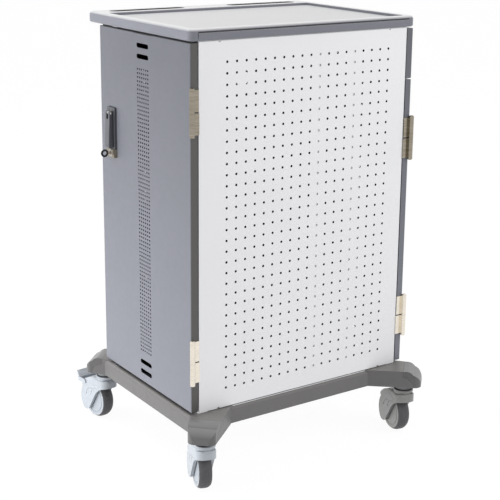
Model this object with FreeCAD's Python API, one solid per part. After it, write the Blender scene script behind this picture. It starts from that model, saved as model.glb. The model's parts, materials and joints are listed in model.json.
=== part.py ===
"""Charging cart: lockable cabinet with two doors, pegboard sides, a grip top and four swivel casters.

Millimetres, +Z up. The origin is on the floor, midway between the casters. The front door faces -Y,
the push grip overhangs the -X side, and both doors hinge on the +X side.
"""
import FreeCAD, Part
import math
import os

V = FreeCAD.Vector
X_AXIS = V(1, 0, 0)
Y_AXIS = V(0, 1, 0)
Z_AXIS = V(0, 0, 1)

# Cabinet
cabinet_width = 420.0
cabinet_depth = 628.0
sheet = 1.5
bend_radius = 3.0
post_size = 25.0
post_wall = 2.0
post_corner_radius = 2.0
floor_thickness = 2.0

# Base
caster_height = 140.0
rail_height = 40.0
rail_width = 30.0
rail_outset = 4.0
rail_edge_radius = 9.0
leg_height = 43.0
leg_width_nose = 66.0
leg_width_root = 92.0
leg_reach = 45.0
leg_inner_reach = 115.0
leg_nose_radius = 36.0
leg_end_taper = 13.0
leg_end_flat = 38.0
leg_end_bow = 1.8
cap_length = 45.0
cap_thickness = 18.0
cap_gap = 0.4
cap_roll_run = 17.0
cap_roll_drop = 9.4
cap_roll_bow = 2.4
cap_nose_bow = 5.4
spigot_width = 30.0
spigot_height = 8.0
spigot_length = 10.0
spigot_drop = 4.0

# Casters
swivel_x = 245.0
swivel_y = 299.0
wheel_radius = 50.0
wheel_width = 32.0
tread_shoulder = 12.0
hub_radius = 45.0
hub_setback = 0.4
hub_groove_radius = 36.0
hub_groove_width = 1.6
hub_groove_depth = 1.0
caster_trail = 36.0
wheel_gap = 5.0
cheek_gap = 1.5
cheek_thickness = 7.5
cheek_edge_radius = 5.0
cheek_rim = 47.0
fender_wall = 3.0
fender_end_angle = 42.0
cheek_end_angle = 40.0
cheek_tip = (8.0, -25.0)
cheek_tip_bow = (22.0, -34.0)
cheek_knee = (-22.0, 22.0)
cheek_knee_bow = (-9.0, 2.0)
lip_bow = (-41.0, 38.0)
axle_radius = 4.0
axle_seat = 4.0
swivel_ring_radius = 25.0
swivel_ring_height = 7.0
swivel_ring_edge = 1.5
swivel_neck_radius = 23.0
swivel_neck_height = 2.5
bearing_gap = 0.4
collar_radius = 20.5
collar_height = 14.0
stem_radius = 8.0
stem_depth = 24.0
hood_front = 27.0
hood_slope = 2.5
hood_height = 21.0
hood_lip = 4.0
hood_bow = 1.2
hood_inset = 0.6
hood_corner_radius = 20.0
hood_shoulder = 7.0
hood_flat_end = 20.0
hood_end_angle = 58.0
hood_end_bow = 2.5
groove_centres = ((30.0, 55.0), (8.0, 60.0))
groove_radius = 28.0
groove_rise = 4.0
groove_width = 1.6
groove_depth = 0.8
running_gap = 0.05
pedal_length = 32.0
pedal_thickness = 8.0
pedal_rise = 6.0
pedal_pin_radius = 3.0
pedal_pin_seat = 2.0
pedal_tip_width = 34.0
pedal_eye_radius = 5.5
pedal_ear_thickness = 3.0
pedal_ear_gap = 0.4
pedal_pivot = (62.0, 93.0)
pedal_clearance = 4.0
caster_headings = {"front_left": 186.0, "front_right": 161.0, "rear_left": 178.0, "rear_right": 167.0}
braked_casters = ("front_left", "rear_left")

# Side panels
panel_lift = 5.0
panel_height = 856.0
peg_pitch = 25.4
peg_columns = 19
peg_rows = 31
peg_radius = 3.0
peg_offset = 9.0
notch_width = 5.0
notch_depth = 2.5
notch_setback = 53.0

# Doors
door_lift = 9.0
door_height = 850.0
rear_door_height = 726.0
rear_seam = 3.0
door_thickness = 18.0
door_gap = 3.0
door_lip = 12.0
vent_pitch = 9.525
vent_columns = 6
vent_radius = 2.4
vent_margin = 82.0
vent_slot_width = 54.0
vent_slot_height = 11.0
vent_slot_pitch = 25.0
vent_slot_margin = 27.5

# Hinges
hinge_height = 106.0
barrel_radius = 6.0
hinge_pin_radius = 3.5
hinge_leaf = 2.0
hinge_gap = 0.4
hinge_leaf_gap = 1.5
hinge_leaf_inset = 3.0
hinge_pin_inset = 4.0
hinge_tab_length = 16.0
hinge_levels = {"front": (889.0, 313.0), "rear": (771.0, 312.0)}

# Door handles
handle_offset = 60.0
handle_width = 37.0
handle_base_top = 849.0
lock_top = 747.5
lock_bottom = 727.0
handle_base_thickness = 5.0
lock_block_thickness = 8.0
handle_corner = 1.5
spindle_radius = 7.0
spindle_level = 836.0
sleeve_wall = 3.0
lever_width = 22.0
lever_thickness = 9.2
lever_flare = 3.0
lever_end = 752.0
lever_gap = 0.5
lever_tip = 8.0
lever_edge_radius = 1.5
tongue_width = 8.0
tongue_gap = 0.4
cross_pin_radius = 2.0
cross_pin_inset = 1.0
lock_level = 738.0
lock_barrel_radius = 8.0
plug_radius = 5.5
plug_proud = 1.0
cam_thickness = 2.0
cam_length = 14.0
key_head_radius = 9.5
key_hole_radius = 5.0
key_thickness = 2.4
key_reach = 15.0
key_blade_height = 6.0
key_slot_gap = 0.2
key_slot_depth = 8.0
key_insert = 6.0

# Lock rods and their rack drive
pinion_teeth = 16
rack_module = 1.0
tooth_height = 0.8
tooth_depth = 1.25
tooth_foot = 0.27
tooth_tip = 0.1
tooth_sink = 0.3
rod_width = 6.0
rod_thickness = 5.0
rod_gap = 0.4
rod_overlap = 14.0
rod_setback = 1.0
drive_depth = 3.0
guide_wall = 3.0
guide_length = 16.0
guide_near = 46.0
guide_far = 30.0
keeper_thickness = 1.5
keeper_margin = 8.0
throw_angle = 90.0
throw_clearance = 2.0

# Top
top_gap = 4.0
top_thickness = 26.0
top_right_outset = 4.0
top_end_outset = 2.0
grip_overhang = 58.0
top_corner_radius = 14.0
top_edge_radius = 8.0
top_lower_radius = 4.0
tray_border = 18.0
tray_end_border = 20.0
tray_left_border = 12.0
tray_depth = 13.0
tray_corner_radius = 9.0
tray_edge_radius = 2.5
work_surface_thickness = 6.0
seat_gap = 0.3
grip_slot_width = 28.0
grip_slot_length = 206.0
grip_slot_spacing = 340.0
grip_bar_width = 23.0
grip_edge_radius = 3.0

# Inside
shelf_thickness = 2.0
tier_count = 3
shelf_front = 285.0
partition_setback = 164.0
cable_slot_length = 60.0
cable_slot_height = 24.0
cable_slot_spacing = 120.0
rack_half_width = 175.0
rack_slots = 9
rack_base = 3.0
rack_fin = 2.5
rack_fin_height = 110.0
rack_fin_radius = 30.0
rack_depth = 400.0
strip_spacing = 200.0
strip_width = 48.0
strip_depth = 38.0
strip_height = 610.0
strip_lift = 90.0
strip_edge_radius = 3.0
socket_radius = 19.0
socket_depth = 9.0
socket_count = 9
controller_width = 130.0
controller_depth = 70.0
controller_height = 120.0
controller_edge_radius = 4.0
inlet_offset = 120.0
inlet_width = 50.0
inlet_height = 28.0
inlet_depth = 26.0
inlet_flange = 4.0
inlet_flange_thickness = 2.5
inlet_corner_radius = 3.0
inlet_socket_width = 25.0
inlet_socket_height = 17.0
inlet_socket_depth = 18.0
inlet_pin_spacing = 7.0
inlet_pin_width = 2.0
inlet_pin_height = 4.0
inlet_pin_setback = 3.0
inlet_pin_drop = 2.0
inlet_earth_rise = 3.5
switch_spacing = 46.0
switch_width = 15.0
switch_height = 21.0
switch_thickness = 6.0
switch_tilt = 8.0
switch_gap = 0.4
switch_bezel = 3.5
switch_pin_radius = 1.5
rocker_hollow = 0.6
rocker_edge_depth = 1.5
rocker_depth = 3.0

# Levels and planes that follow
side_x = cabinet_width / 2
end_y = cabinet_depth / 2
rail_top = caster_height + rail_height
floor_top = rail_top + floor_thickness
panel_bottom = rail_top + panel_lift
door_bottom = rail_top + door_lift
door_top = door_bottom + door_height
rear_door_top = door_bottom + rear_door_height
top_bottom = door_top + top_gap
top_level = top_bottom + top_thickness
leg_top = caster_height + leg_height
panel_end = end_y - door_thickness - door_gap
post_outer = side_x - sheet
hinge_x = side_x + hinge_gap + barrel_radius
handle_x = handle_offset - side_x
pitch_radius = rack_module * pinion_teeth / 2
rod_throw = pitch_radius * math.radians(throw_angle)
partition_y = end_y - partition_setback
shelf_half_width = post_outer - post_size
tier_pitch = (door_top - floor_top) / tier_count
corners = {"front_left": (-1, -1), "front_right": (1, -1), "rear_left": (-1, 1), "rear_right": (1, 1)}


# Shape helpers
def box(x, y, z):
    """Block between pairs of coordinates."""
    corner = V(min(x), min(y), min(z))
    return Part.makeBox(abs(x[1] - x[0]), abs(y[1] - y[0]), abs(z[1] - z[0]), corner)


def span(middle, width):
    """Pair of coordinates either side of a middle."""
    return middle - width / 2, middle + width / 2


def cylinder(radius, start, end):
    """Round bar between two points."""
    return Part.makeCylinder(radius, (end - start).Length, start, end - start)


def join(*shapes):
    """Shapes fused into one solid."""
    return shapes[0].multiFuse(list(shapes[1:])).removeSplitter()


def outline(*steps):
    """Closed wire: a point draws a line to it, a pair (via, end) draws an arc."""
    edges = []
    here = steps[0]
    for step in steps[1:] + (steps[0],):
        if isinstance(step, tuple):
            edges.append(Part.Arc(here, step[0], step[1]).toShape())
            here = step[1]
        elif (step - here).Length > 1e-6:
            edges.append(Part.LineSegment(here, step).toShape())
            here = step
    return Part.Wire(edges)


def bowed(start, end, rise):
    """Arc step for an outline: from start to end, its middle pushed out by rise."""
    return (start + end) * 0.5 + rise, end


def prism(wire, vector):
    """Solid swept from a flat wire."""
    return Part.Face(wire).extrude(vector)


def round_edges(solid, radius, wanted):
    """Fillet the edges for which wanted(edge) is true."""
    return solid.makeFillet(radius, [edge for edge in solid.Edges if wanted(edge)])


def runs_along(edge, axis):
    """True for a straight edge parallel to the axis."""
    if not isinstance(edge.Curve, Part.Line):
        return False
    return abs(edge.tangentAt(edge.FirstParameter).dot(axis)) > 0.999


def lies_at(edge, z):
    """True for an edge that lies flat at the height z."""
    return abs(edge.BoundBox.ZMin - z) < 1e-4 and abs(edge.BoundBox.ZMax - z) < 1e-4


def rounded_slab(x, y, z, radius):
    """Block with rounded upright corners."""
    return round_edges(box(x, y, z), radius, lambda edge: runs_along(edge, Z_AXIS))


def obround(centre, length, height, along, across):
    """Slot outline with round ends, centred on a point."""
    half = along * ((length - height) / 2)
    rise = across * (height / 2)
    tip = along * (length / 2)
    return outline(
        centre - half - rise,
        centre + half - rise,
        (centre + tip, centre + half + rise),
        centre - half + rise,
        (centre - tip, centre - half - rise),
    )


def circle_wire(centre, normal, radius):
    return Part.Wire([Part.Circle(centre, normal, radius).toShape()])


def pierced_plate(outer, holes, vector):
    """Flat plate swept from an outline with many holes."""
    return Part.makeFace([outer] + holes, "Part::FaceMakerCheese").extrude(vector)


def mirrored(shape, normal):
    return shape.mirror(V(0, 0, 0), normal)


def four_ways(shape):
    """Copies of a +X -Y piece at all four corners, by corner name."""
    placed = {}
    for name, (sx, sy) in corners.items():
        piece = shape
        if sx < 0:
            piece = mirrored(piece, X_AXIS)
        if sy > 0:
            piece = mirrored(piece, Y_AXIS)
        placed[name] = piece
    return placed


nodes = {}


# Base: diagonal legs with curved end caps, and the rails between them
def leg_section(points, half_width):
    """Upright profile along the leg, swept across it and turned onto the front right diagonal."""
    across = V(0, 2 * half_width, 0)
    solid = prism(outline(*points), across)
    solid.translate(V(0, -half_width, 0))
    return solid


def place_leg(solid):
    solid = solid.copy()
    solid.rotate(V(0, 0, 0), Z_AXIS, -45)
    solid.translate(V(swivel_x, -swivel_y, 0))
    return solid


def leg_plan():
    """Tapered plan of a leg with a blunt rounded end, in leg coordinates along +X."""
    shoulder = leg_reach - leg_end_taper
    root = leg_width_root / 2
    nose = leg_width_nose / 2
    flat = leg_end_flat / 2
    low_end = V(leg_reach, -flat, caster_height)
    high_end = V(leg_reach, flat, caster_height)
    low_shoulder = V(shoulder, -nose, caster_height)
    high_shoulder = V(shoulder, nose, caster_height)
    plan = outline(
        V(-leg_inner_reach, -root, caster_height),
        low_shoulder,
        bowed(low_shoulder, low_end, V(leg_end_bow, -leg_end_bow, 0)),
        high_end,
        bowed(high_end, high_shoulder, V(leg_end_bow, leg_end_bow, 0)),
        V(-leg_inner_reach, root, caster_height),
    )
    return prism(plan, V(0, 0, leg_height))


def leg_and_cap():
    """Leg body and its end cap, whose top rolls over twice on the way down to its nose."""
    low = caster_height
    seam = leg_reach - cap_length
    sweep = cap_length - cap_thickness
    seam_bend = sweep * math.sqrt(0.5)
    seam_via = V(seam + seam_bend, 0, low + seam_bend)
    roll_start = V(leg_reach - leg_nose_radius, 0, leg_top)
    roll_middle = roll_start + V(cap_roll_run, 0, -cap_roll_drop)
    roll_end = V(leg_reach, 0, leg_top - leg_nose_radius)
    roll_rise = V(cap_roll_drop, 0, cap_roll_run).normalize() * cap_roll_bow
    nose_rise = V(roll_middle.z - roll_end.z, 0, roll_end.x - roll_middle.x).normalize() * cap_nose_bow
    cap_profile = [
        V(seam, 0, leg_top),
        roll_start,
        bowed(roll_start, roll_middle, roll_rise),
        bowed(roll_middle, roll_end, nose_rise),
        V(leg_reach, 0, low),
        V(seam + sweep, 0, low),
        (seam_via, V(seam, 0, low + sweep)),
    ]
    inner = sweep - cap_gap
    inner_bend = inner * math.sqrt(0.5)
    body_profile = [
        V(-leg_inner_reach, 0, low),
        V(seam + inner, 0, low),
        (V(seam + inner_bend, 0, low + inner_bend), V(seam, 0, low + inner)),
        V(seam - cap_gap, 0, low + inner),
        V(seam - cap_gap, 0, leg_top),
        V(-leg_inner_reach, 0, leg_top),
    ]
    plan = leg_plan()
    body = plan.common(leg_section(body_profile, leg_width_root))
    cap = plan.common(leg_section(cap_profile, leg_width_root))
    spigot_top = leg_top - spigot_drop
    spigot_z = (spigot_top - spigot_height, spigot_top)
    spigot = box((seam - spigot_length, seam + 1), span(0, spigot_width), spigot_z)
    body = body.cut(spigot)
    cap = join(cap, spigot)
    under_floor = box((-post_outer, post_outer), (-panel_end, panel_end), (rail_top, leg_top + leg_height))
    return place_leg(body).cut(under_floor), place_leg(cap)


def rail(length_axis):
    """Rail along one side, from corner to corner, with a rounded outer top edge."""
    reach_x = side_x + rail_outset
    reach_y = end_y + rail_outset
    level = (caster_height, rail_top)
    if length_axis == "x":
        bar = box((-reach_x, reach_x), (-reach_y, rail_width - reach_y), level)
        outer = round_edges(bar, rail_edge_radius, lambda edge: runs_along(edge, X_AXIS)
                            and lies_at(edge, rail_top) and edge.BoundBox.YMax < -reach_y + 1)
    else:
        inner_y = reach_y - rail_width
        bar = box((reach_x - rail_width, reach_x), (-inner_y, inner_y), level)
        outer = round_edges(bar, rail_edge_radius, lambda edge: runs_along(edge, Y_AXIS)
                            and lies_at(edge, rail_top) and edge.BoundBox.XMin > reach_x - 1)
    return outer


def make_base():
    leg, cap = leg_and_cap()
    caps = four_ways(cap)
    nodes["leg_caps"] = Part.makeCompound(list(caps.values()))
    for name, piece in four_ways(leg).items():
        nodes["leg_" + name] = piece
    clearance = Part.makeCompound(list(four_ways(place_leg(leg_plan())).values()))
    front = rail("x").cut(clearance)
    right = rail("y").cut(clearance)
    front = front.cut(rod_window(-1, (rail_top - rod_throw - throw_clearance, rail_top + 1)))
    nodes["end_rails"] = Part.makeCompound([front, mirrored(front, Y_AXIS)])
    nodes["side_rails"] = Part.makeCompound([right, mirrored(right, X_AXIS)])


# Casters
def caster_levels():
    """Heights of the hood's top and of the swivel ring's underside."""
    ring_low = caster_height - collar_height - bearing_gap - swivel_ring_height
    return ring_low - swivel_neck_height, ring_low


def wheel_centre():
    return V(caster_trail, 0, wheel_radius)


def cheek_faces():
    """Half the wheel slot, and half the width across the cheeks."""
    slot_half = wheel_width / 2 + cheek_gap
    return slot_half, slot_half + cheek_thickness


def hood_side(half):
    """Side outline of the fork: lip in front, fender over the wheel, cheek behind it."""
    centre = wheel_centre()
    lip_low = caster_levels()[0] - hood_height
    clear = wheel_radius + wheel_gap + 2 * fender_wall

    def around(radius, degrees):
        turn = math.radians(degrees)
        return centre + V(radius * math.cos(turn), -half, radius * math.sin(turn))

    def from_axle(place):
        return centre + V(place[0], -half, place[1])

    past = -hood_front - wheel_gap
    lip = V(-hood_front, -half, lip_low)
    return outline(
        V(past, -half, lip_low),
        V(past, -half, caster_height),
        V(around(clear, fender_end_angle).x, -half, caster_height),
        around(clear, fender_end_angle),
        around(cheek_rim, fender_end_angle - wheel_gap),
        (around(cheek_rim, 0), around(cheek_rim, -cheek_end_angle)),
        (from_axle(cheek_tip_bow), from_axle(cheek_tip)),
        (from_axle(cheek_knee_bow), from_axle(cheek_knee)),
        (from_axle(lip_bow), lip),
    )


def hood_block(half):
    """Hood in front of the fender and over its top: round nose, rolled shoulders, sloping back."""
    centre = wheel_centre()
    hood_top = caster_levels()[0]
    lip_top = hood_top - hood_height + hood_lip
    buried = wheel_radius + wheel_gap + fender_wall / 2
    turn = math.radians(hood_end_angle)
    end = centre + V(buried * math.cos(turn), -half, buried * math.sin(turn))
    lip = V(-hood_front, -half, lip_top)
    brow = V(hood_slope - hood_front, -half, hood_top)
    crest = V(hood_flat_end, -half, hood_top)
    side = prism(outline(
        V(-hood_front, -half, centre.z),
        lip,
        bowed(lip, brow, V(-hood_bow, 0, hood_bow)),
        crest,
        bowed(crest, end, V(hood_end_bow, 0, hood_end_bow)),
        V(end.x, -half, centre.z),
    ), V(0, 2 * half, 0))
    plan = rounded_slab((-hood_front, centre.x + buried), (-half, half), (centre.z - 1, hood_top + 1),
                        hood_corner_radius)
    waist = hood_top - hood_shoulder
    crown = half - hood_shoulder
    section = prism(outline(
        V(-hood_front - 1, -half - 1, 0),
        V(-hood_front - 1, -half - 1, waist),
        V(-hood_front - 1, -half, waist),
        bowed(V(-hood_front - 1, -half, waist), V(-hood_front - 1, -crown, hood_top),
              V(0, -hood_bow, hood_bow)),
        V(-hood_front - 1, crown, hood_top),
        bowed(V(-hood_front - 1, crown, hood_top), V(-hood_front - 1, half, waist), V(0, hood_bow, hood_bow)),
        V(-hood_front - 1, half + 1, waist),
        V(-hood_front - 1, half + 1, 0),
    ), V(hood_front + centre.x + buried + 2, 0, 0))
    return side.common(plan).common(section)


def caster_fork():
    """Hooded fork about a swivel axis at the origin, trailing along +X."""
    centre = wheel_centre()
    slot_half, half = cheek_faces()
    hood_top, ring_low = caster_levels()
    fender_radius = wheel_radius + wheel_gap + fender_wall
    fender = cylinder(fender_radius, centre - Y_AXIS * half, centre + Y_AXIS * half)
    fender = round_edges(fender, cheek_edge_radius, lambda edge: isinstance(edge.Curve, Part.Circle))
    side = prism(hood_side(2 * half), V(0, 4 * half, 0))
    hood = join(fender, hood_block(half - hood_inset)).common(side)
    neck = cylinder(swivel_neck_radius, V(0, 0, hood_top - 1), V(0, 0, ring_low))
    ring = cylinder(swivel_ring_radius, V(0, 0, ring_low), V(0, 0, ring_low + swivel_ring_height))
    ring = round_edges(ring, swivel_ring_edge, lambda edge: isinstance(edge.Curve, Part.Circle))
    fork = join(hood, neck, ring)
    slot = Y_AXIS * slot_half
    wheel_room = cylinder(wheel_radius + wheel_gap, centre - slot, centre + slot)
    stem_end = ring_low + swivel_ring_height - stem_depth
    bore = cylinder(stem_radius + running_gap, V(0, 0, stem_end - bearing_gap), V(0, 0, caster_height))
    seat = Y_AXIS * (slot_half + axle_seat)
    axle_bore = cylinder(axle_radius + running_gap, centre - seat, centre + seat)
    fork = fork.cut(Part.makeCompound([wheel_room, bore, axle_bore]))
    core = span(0, 2 * (half - groove_depth))
    grooves = []
    for x, z in groove_centres:
        start = V(x, 0, z)
        sweep = Y_AXIS * (2 * half)
        outer = cylinder(groove_radius + groove_width / 2, start - sweep, start + sweep)
        inner = cylinder(groove_radius - groove_width / 2, start - sweep, start + sweep)
        reach = 2 * groove_radius
        window = box((x, x + reach), (-reach, reach), (z + groove_rise, z + reach))
        keep = box((x, x + reach), core, (z, z + reach))
        grooves.append(outer.cut(inner).common(window).cut(keep))
    return fork.cut(Part.makeCompound(grooves))


def wheel_parts():
    """Hub, tyre and axle about the wheel's centre, in caster coordinates."""
    centre = wheel_centre()
    face = wheel_width / 2 - hub_setback
    bore = axle_radius + running_gap
    groove_in = hub_groove_radius - hub_groove_width / 2
    groove_out = hub_groove_radius + hub_groove_width / 2
    groove_floor = face - hub_groove_depth

    def at(radius, width):
        return centre + V(radius, width, 0)

    hub_section = outline(
        at(bore, -face),
        at(groove_in, -face),
        at(groove_in, -groove_floor),
        at(groove_out, -groove_floor),
        at(groove_out, -face),
        at(hub_radius, -face),
        at(hub_radius, face),
        at(groove_out, face),
        at(groove_out, groove_floor),
        at(groove_in, groove_floor),
        at(groove_in, face),
        at(bore, face),
    )
    tread = wheel_radius - hub_radius
    bend = (tread ** 2 + tread_shoulder ** 2) / (2 * tread)
    half_turn = math.asin(tread_shoulder / bend) / 2
    via_radius = wheel_radius - bend * (1 - math.cos(half_turn))
    via_width = face - tread_shoulder + bend * math.sin(half_turn)
    tyre_section = outline(
        at(hub_radius, -face),
        (at(via_radius, -via_width), at(wheel_radius, -face + tread_shoulder)),
        at(wheel_radius, face - tread_shoulder),
        (at(via_radius, via_width), at(hub_radius, face)),
    )
    hub = Part.Face(hub_section).revolve(centre, Y_AXIS, 360)
    tyre = Part.Face(tyre_section).revolve(centre, Y_AXIS, 360)
    reach = Y_AXIS * (cheek_faces()[0] + axle_seat)
    axle = cylinder(axle_radius, centre - reach, centre + reach)
    return hub, tyre, axle


def brake_pedal():
    """Tongue behind the hood, hung by two ears on the fork's pedal pins."""
    half = cheek_faces()[1] + pedal_ear_gap
    outer = half + pedal_ear_thickness
    pivot = V(pedal_pivot[0], 0, pedal_pivot[1])
    fender_radius = wheel_radius + wheel_gap + fender_wall
    near = caster_trail + fender_radius * math.cos(math.radians(fender_end_angle)) + pedal_clearance
    far = near + pedal_length
    low = pivot.z - pedal_eye_radius
    high = pivot.z + pedal_eye_radius
    tip_low = V(far, -outer, high + pedal_rise - pedal_thickness)
    tip_high = V(far, -outer, high + pedal_rise)
    root_low = V(near, -outer, low)
    root_high = V(near, -outer, high)
    tongue = prism(outline(
        root_low,
        root_high,
        bowed(root_high, tip_high, V(0, 0, pedal_rise / 2)),
        bowed(tip_high, tip_low, V(pedal_thickness / 2, 0, 0)),
        bowed(tip_low, root_low, V(0, 0, pedal_rise / 2)),
    ), V(0, 2 * outer, 0))
    tip_half = pedal_tip_width / 2
    plan = prism(outline(
        V(pivot.x, -outer - 1, low - 1),
        V(near, -outer - 1, low - 1),
        V(far, -tip_half, low - 1),
        (V(far + pedal_thickness, 0, low - 1), V(far, tip_half, low - 1)),
        V(near, outer + 1, low - 1),
        V(pivot.x, outer + 1, low - 1),
    ), V(0, 0, caster_height - low))
    tongue = tongue.common(plan)
    ears = []
    for sign in (-1, 1):
        side = (sign * half, sign * outer)
        arm = box((pivot.x, near + pedal_thickness), side, (low, high))
        eye = cylinder(pedal_eye_radius, V(pivot.x, side[0], pivot.z), V(pivot.x, side[1], pivot.z))
        ears += [arm, eye]
    pedal = join(tongue, *ears)
    bore = cylinder(pedal_pin_radius + running_gap, pivot - Y_AXIS * 2 * outer, pivot + Y_AXIS * 2 * outer)
    return pedal.cut(bore)


def pedal_pins():
    half = cheek_faces()[1]
    reach = half + pedal_ear_gap + pedal_ear_thickness
    pivot = V(pedal_pivot[0], 0, pedal_pivot[1])
    pins = []
    for sign in (-1, 1):
        start = pivot + Y_AXIS * sign * (half - pedal_pin_seat)
        pins.append(cylinder(pedal_pin_radius, start, pivot + Y_AXIS * sign * reach))
    return pins


def place_caster(shape, name):
    shape = shape.copy()
    shape.rotate(V(0, 0, 0), Z_AXIS, caster_headings[name])
    sx, sy = corners[name]
    shape.translate(V(sx * swivel_x, sy * swivel_y, 0))
    return shape


def make_casters():
    fork = caster_fork()
    hub, tyre, axle = wheel_parts()
    stem_end = caster_height - collar_height - bearing_gap - stem_depth
    stem = join(
        cylinder(stem_radius, V(0, 0, stem_end), V(0, 0, caster_height)),
        cylinder(collar_radius, V(0, 0, caster_height - collar_height), V(0, 0, caster_height)),
    )
    stems = []
    for name in corners:
        body = fork
        if name in braked_casters:
            body = join(fork.copy(), *pedal_pins())
            nodes["brake_pedal_" + name] = place_caster(brake_pedal(), name)
        nodes["caster_fork_" + name] = place_caster(Part.makeCompound([body, axle]), name)
        nodes["wheel_hub_" + name] = place_caster(hub, name)
        nodes["tyre_" + name] = place_caster(tyre, name)
        stems.append(place_caster(stem, name))
    nodes["caster_stems"] = Part.makeCompound(stems)


# Cabinet shell
def make_shell():
    nodes["floor_pan"] = box((-post_outer, post_outer), (-panel_end, panel_end), (rail_top, floor_top))
    post_x = (post_outer - post_size, post_outer)
    post = box(post_x, (-panel_end, post_size - panel_end), (floor_top, door_top))
    post = round_edges(post, post_corner_radius, lambda edge: runs_along(edge, Z_AXIS))
    hollow = box((post_outer - post_size + post_wall, post_outer - post_wall),
                 (-panel_end + post_wall, post_size - post_wall - panel_end), (floor_top - 1, door_top + 1))
    post = post.cut(hollow)
    nodes["corner_posts"] = Part.makeCompound(list(four_ways(post).values()))
    nodes["roof_plate"] = box((-post_outer, post_outer), (-panel_end, panel_end), (door_top, top_bottom))
    panel_top = panel_bottom + panel_height
    low, high = panel_bottom, panel_top
    notch_y = panel_end - notch_setback
    half_notch = notch_width / 2
    points = []
    for edge, inward, way in ((low, notch_depth, 1), (high, -notch_depth, -1)):
        points.append(V(post_outer, -way * panel_end, edge))
        for centre in (-way * notch_y, way * notch_y):
            start = centre - way * half_notch
            stop = centre + way * half_notch
            for y, z in ((start, edge), (start, edge + inward), (stop, edge + inward), (stop, edge)):
                points.append(V(post_outer, y, z))
        points.append(V(post_outer, way * panel_end, edge))
    centre_z = (low + high) / 2
    holes = []
    for column in range(peg_columns):
        for row in range(peg_rows):
            y = peg_offset + (column - (peg_columns - 1) / 2) * peg_pitch
            z = centre_z + (row - (peg_rows - 1) / 2) * peg_pitch
            holes.append(circle_wire(V(post_outer, y, z), X_AXIS, peg_radius))
    panel = pierced_plate(outline(*points), holes, V(sheet, 0, 0))
    nodes["right_side_panel"] = panel
    nodes["left_side_panel"] = mirrored(panel, X_AXIS)


def sheet_pan(z, cutouts, window=None):
    """Folded sheet pan at the front of the cabinet: face, four flanges and return lips."""
    back = -end_y + door_thickness
    outer = box((-side_x, side_x), (-end_y, back), z)
    outer = round_edges(outer, bend_radius, lambda edge: edge.BoundBox.YMax < -end_y + 1e-4)
    room_x = span(0, cabinet_width - 2 * sheet)
    inner = box(room_x, (-end_y + sheet, back - sheet), (z[0] + sheet, z[1] - sheet))
    inner = round_edges(inner, bend_radius - sheet, lambda edge: edge.BoundBox.YMax < -end_y + sheet + 1e-4)
    mouth_x = span(0, cabinet_width - 2 * door_lip)
    mouth = box(mouth_x, (back - 2 * sheet, back + 1), (z[0] + door_lip, z[1] - door_lip))
    pan = outer.cut(Part.makeCompound([inner, mouth]))
    if window:
        low, high, holes = window
        opening = box((low.x, high.x), (-end_y - 1, -end_y + sheet + 1), (low.z, high.z))
        frame = outline(V(low.x, -end_y, low.z), V(high.x, -end_y, low.z),
                        V(high.x, -end_y, high.z), V(low.x, -end_y, high.z))
        pan = join(pan.cut(opening), pierced_plate(frame, holes, V(0, sheet, 0)))
    if cutouts:
        pan = pan.cut(Part.makeCompound(cutouts))
    return pan


def vent_window(z):
    """Perforated strip in the middle of a door, with two slots above it and two below."""
    rows = 1 + int((z[1] - z[0] - 2 * vent_margin) / vent_pitch)
    centre = (z[0] + z[1]) / 2
    holes = []
    for column in range(vent_columns):
        for row in range(rows):
            x = (column - (vent_columns - 1) / 2) * vent_pitch
            level = centre + (row - (rows - 1) / 2) * vent_pitch
            holes.append(circle_wire(V(x, -end_y, level), Y_AXIS, vent_radius))
    for order in range(2):
        inset = vent_slot_margin + order * vent_slot_pitch
        for level in (z[0] + inset, z[1] - inset):
            holes.append(obround(V(0, -end_y, level), vent_slot_width, vent_slot_height, X_AXIS, Z_AXIS))
    margin = vent_slot_height
    low = V(-vent_slot_width / 2 - margin, 0, z[0] + vent_slot_margin - margin)
    high = V(vent_slot_width / 2 + margin, 0, z[1] - vent_slot_margin + margin)
    return low, high, holes


def make_hinges(end):
    """Lift-off hinges at the front: door halves on top, fixed halves with their pins below."""
    door_halves = []
    fixed_halves = []
    leaf_outer = side_x + hinge_gap + hinge_leaf
    for level in hinge_levels[end]:
        top = level + hinge_height / 2
        low = level - hinge_height / 2
        middle_high = level + hinge_gap / 2
        middle_low = level - hinge_gap / 2
        axis = V(hinge_x, -end_y, 0)
        pin_top = top - hinge_pin_inset
        bridge_x = (side_x + hinge_gap, hinge_x)
        bridge_y = (-end_y, -end_y + barrel_radius)
        upper_z = (level + hinge_leaf_gap, top - hinge_leaf_inset)
        lower_z = (low + hinge_leaf_inset, level - hinge_leaf_gap)
        knuckle = cylinder(barrel_radius, axis + V(0, 0, middle_high), axis + V(0, 0, top))
        leaf = box((side_x, leaf_outer), (-end_y + bend_radius, -panel_end - hinge_leaf / 2), upper_z)
        bridge = box(bridge_x, bridge_y, upper_z)
        bore_start = axis + V(0, 0, middle_low)
        bore = cylinder(hinge_pin_radius + running_gap, bore_start, axis + V(0, 0, pin_top + 1))
        door_halves.append(join(knuckle, bridge, leaf).cut(bore))
        knuckle = cylinder(barrel_radius, axis + V(0, 0, low), axis + V(0, 0, middle_low))
        bridge = box(bridge_x, bridge_y, lower_z)
        leaf = box((side_x + hinge_gap, leaf_outer), (-end_y, -panel_end), lower_z)
        tab_y = (-panel_end - hinge_leaf, -panel_end)
        tab = box((side_x - hinge_tab_length, leaf_outer), tab_y, lower_z)
        pin = cylinder(hinge_pin_radius, axis + V(0, 0, low), axis + V(0, 0, pin_top))
        fixed_halves.append(join(knuckle, bridge, leaf, tab, pin))
    return door_halves, fixed_halves


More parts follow.
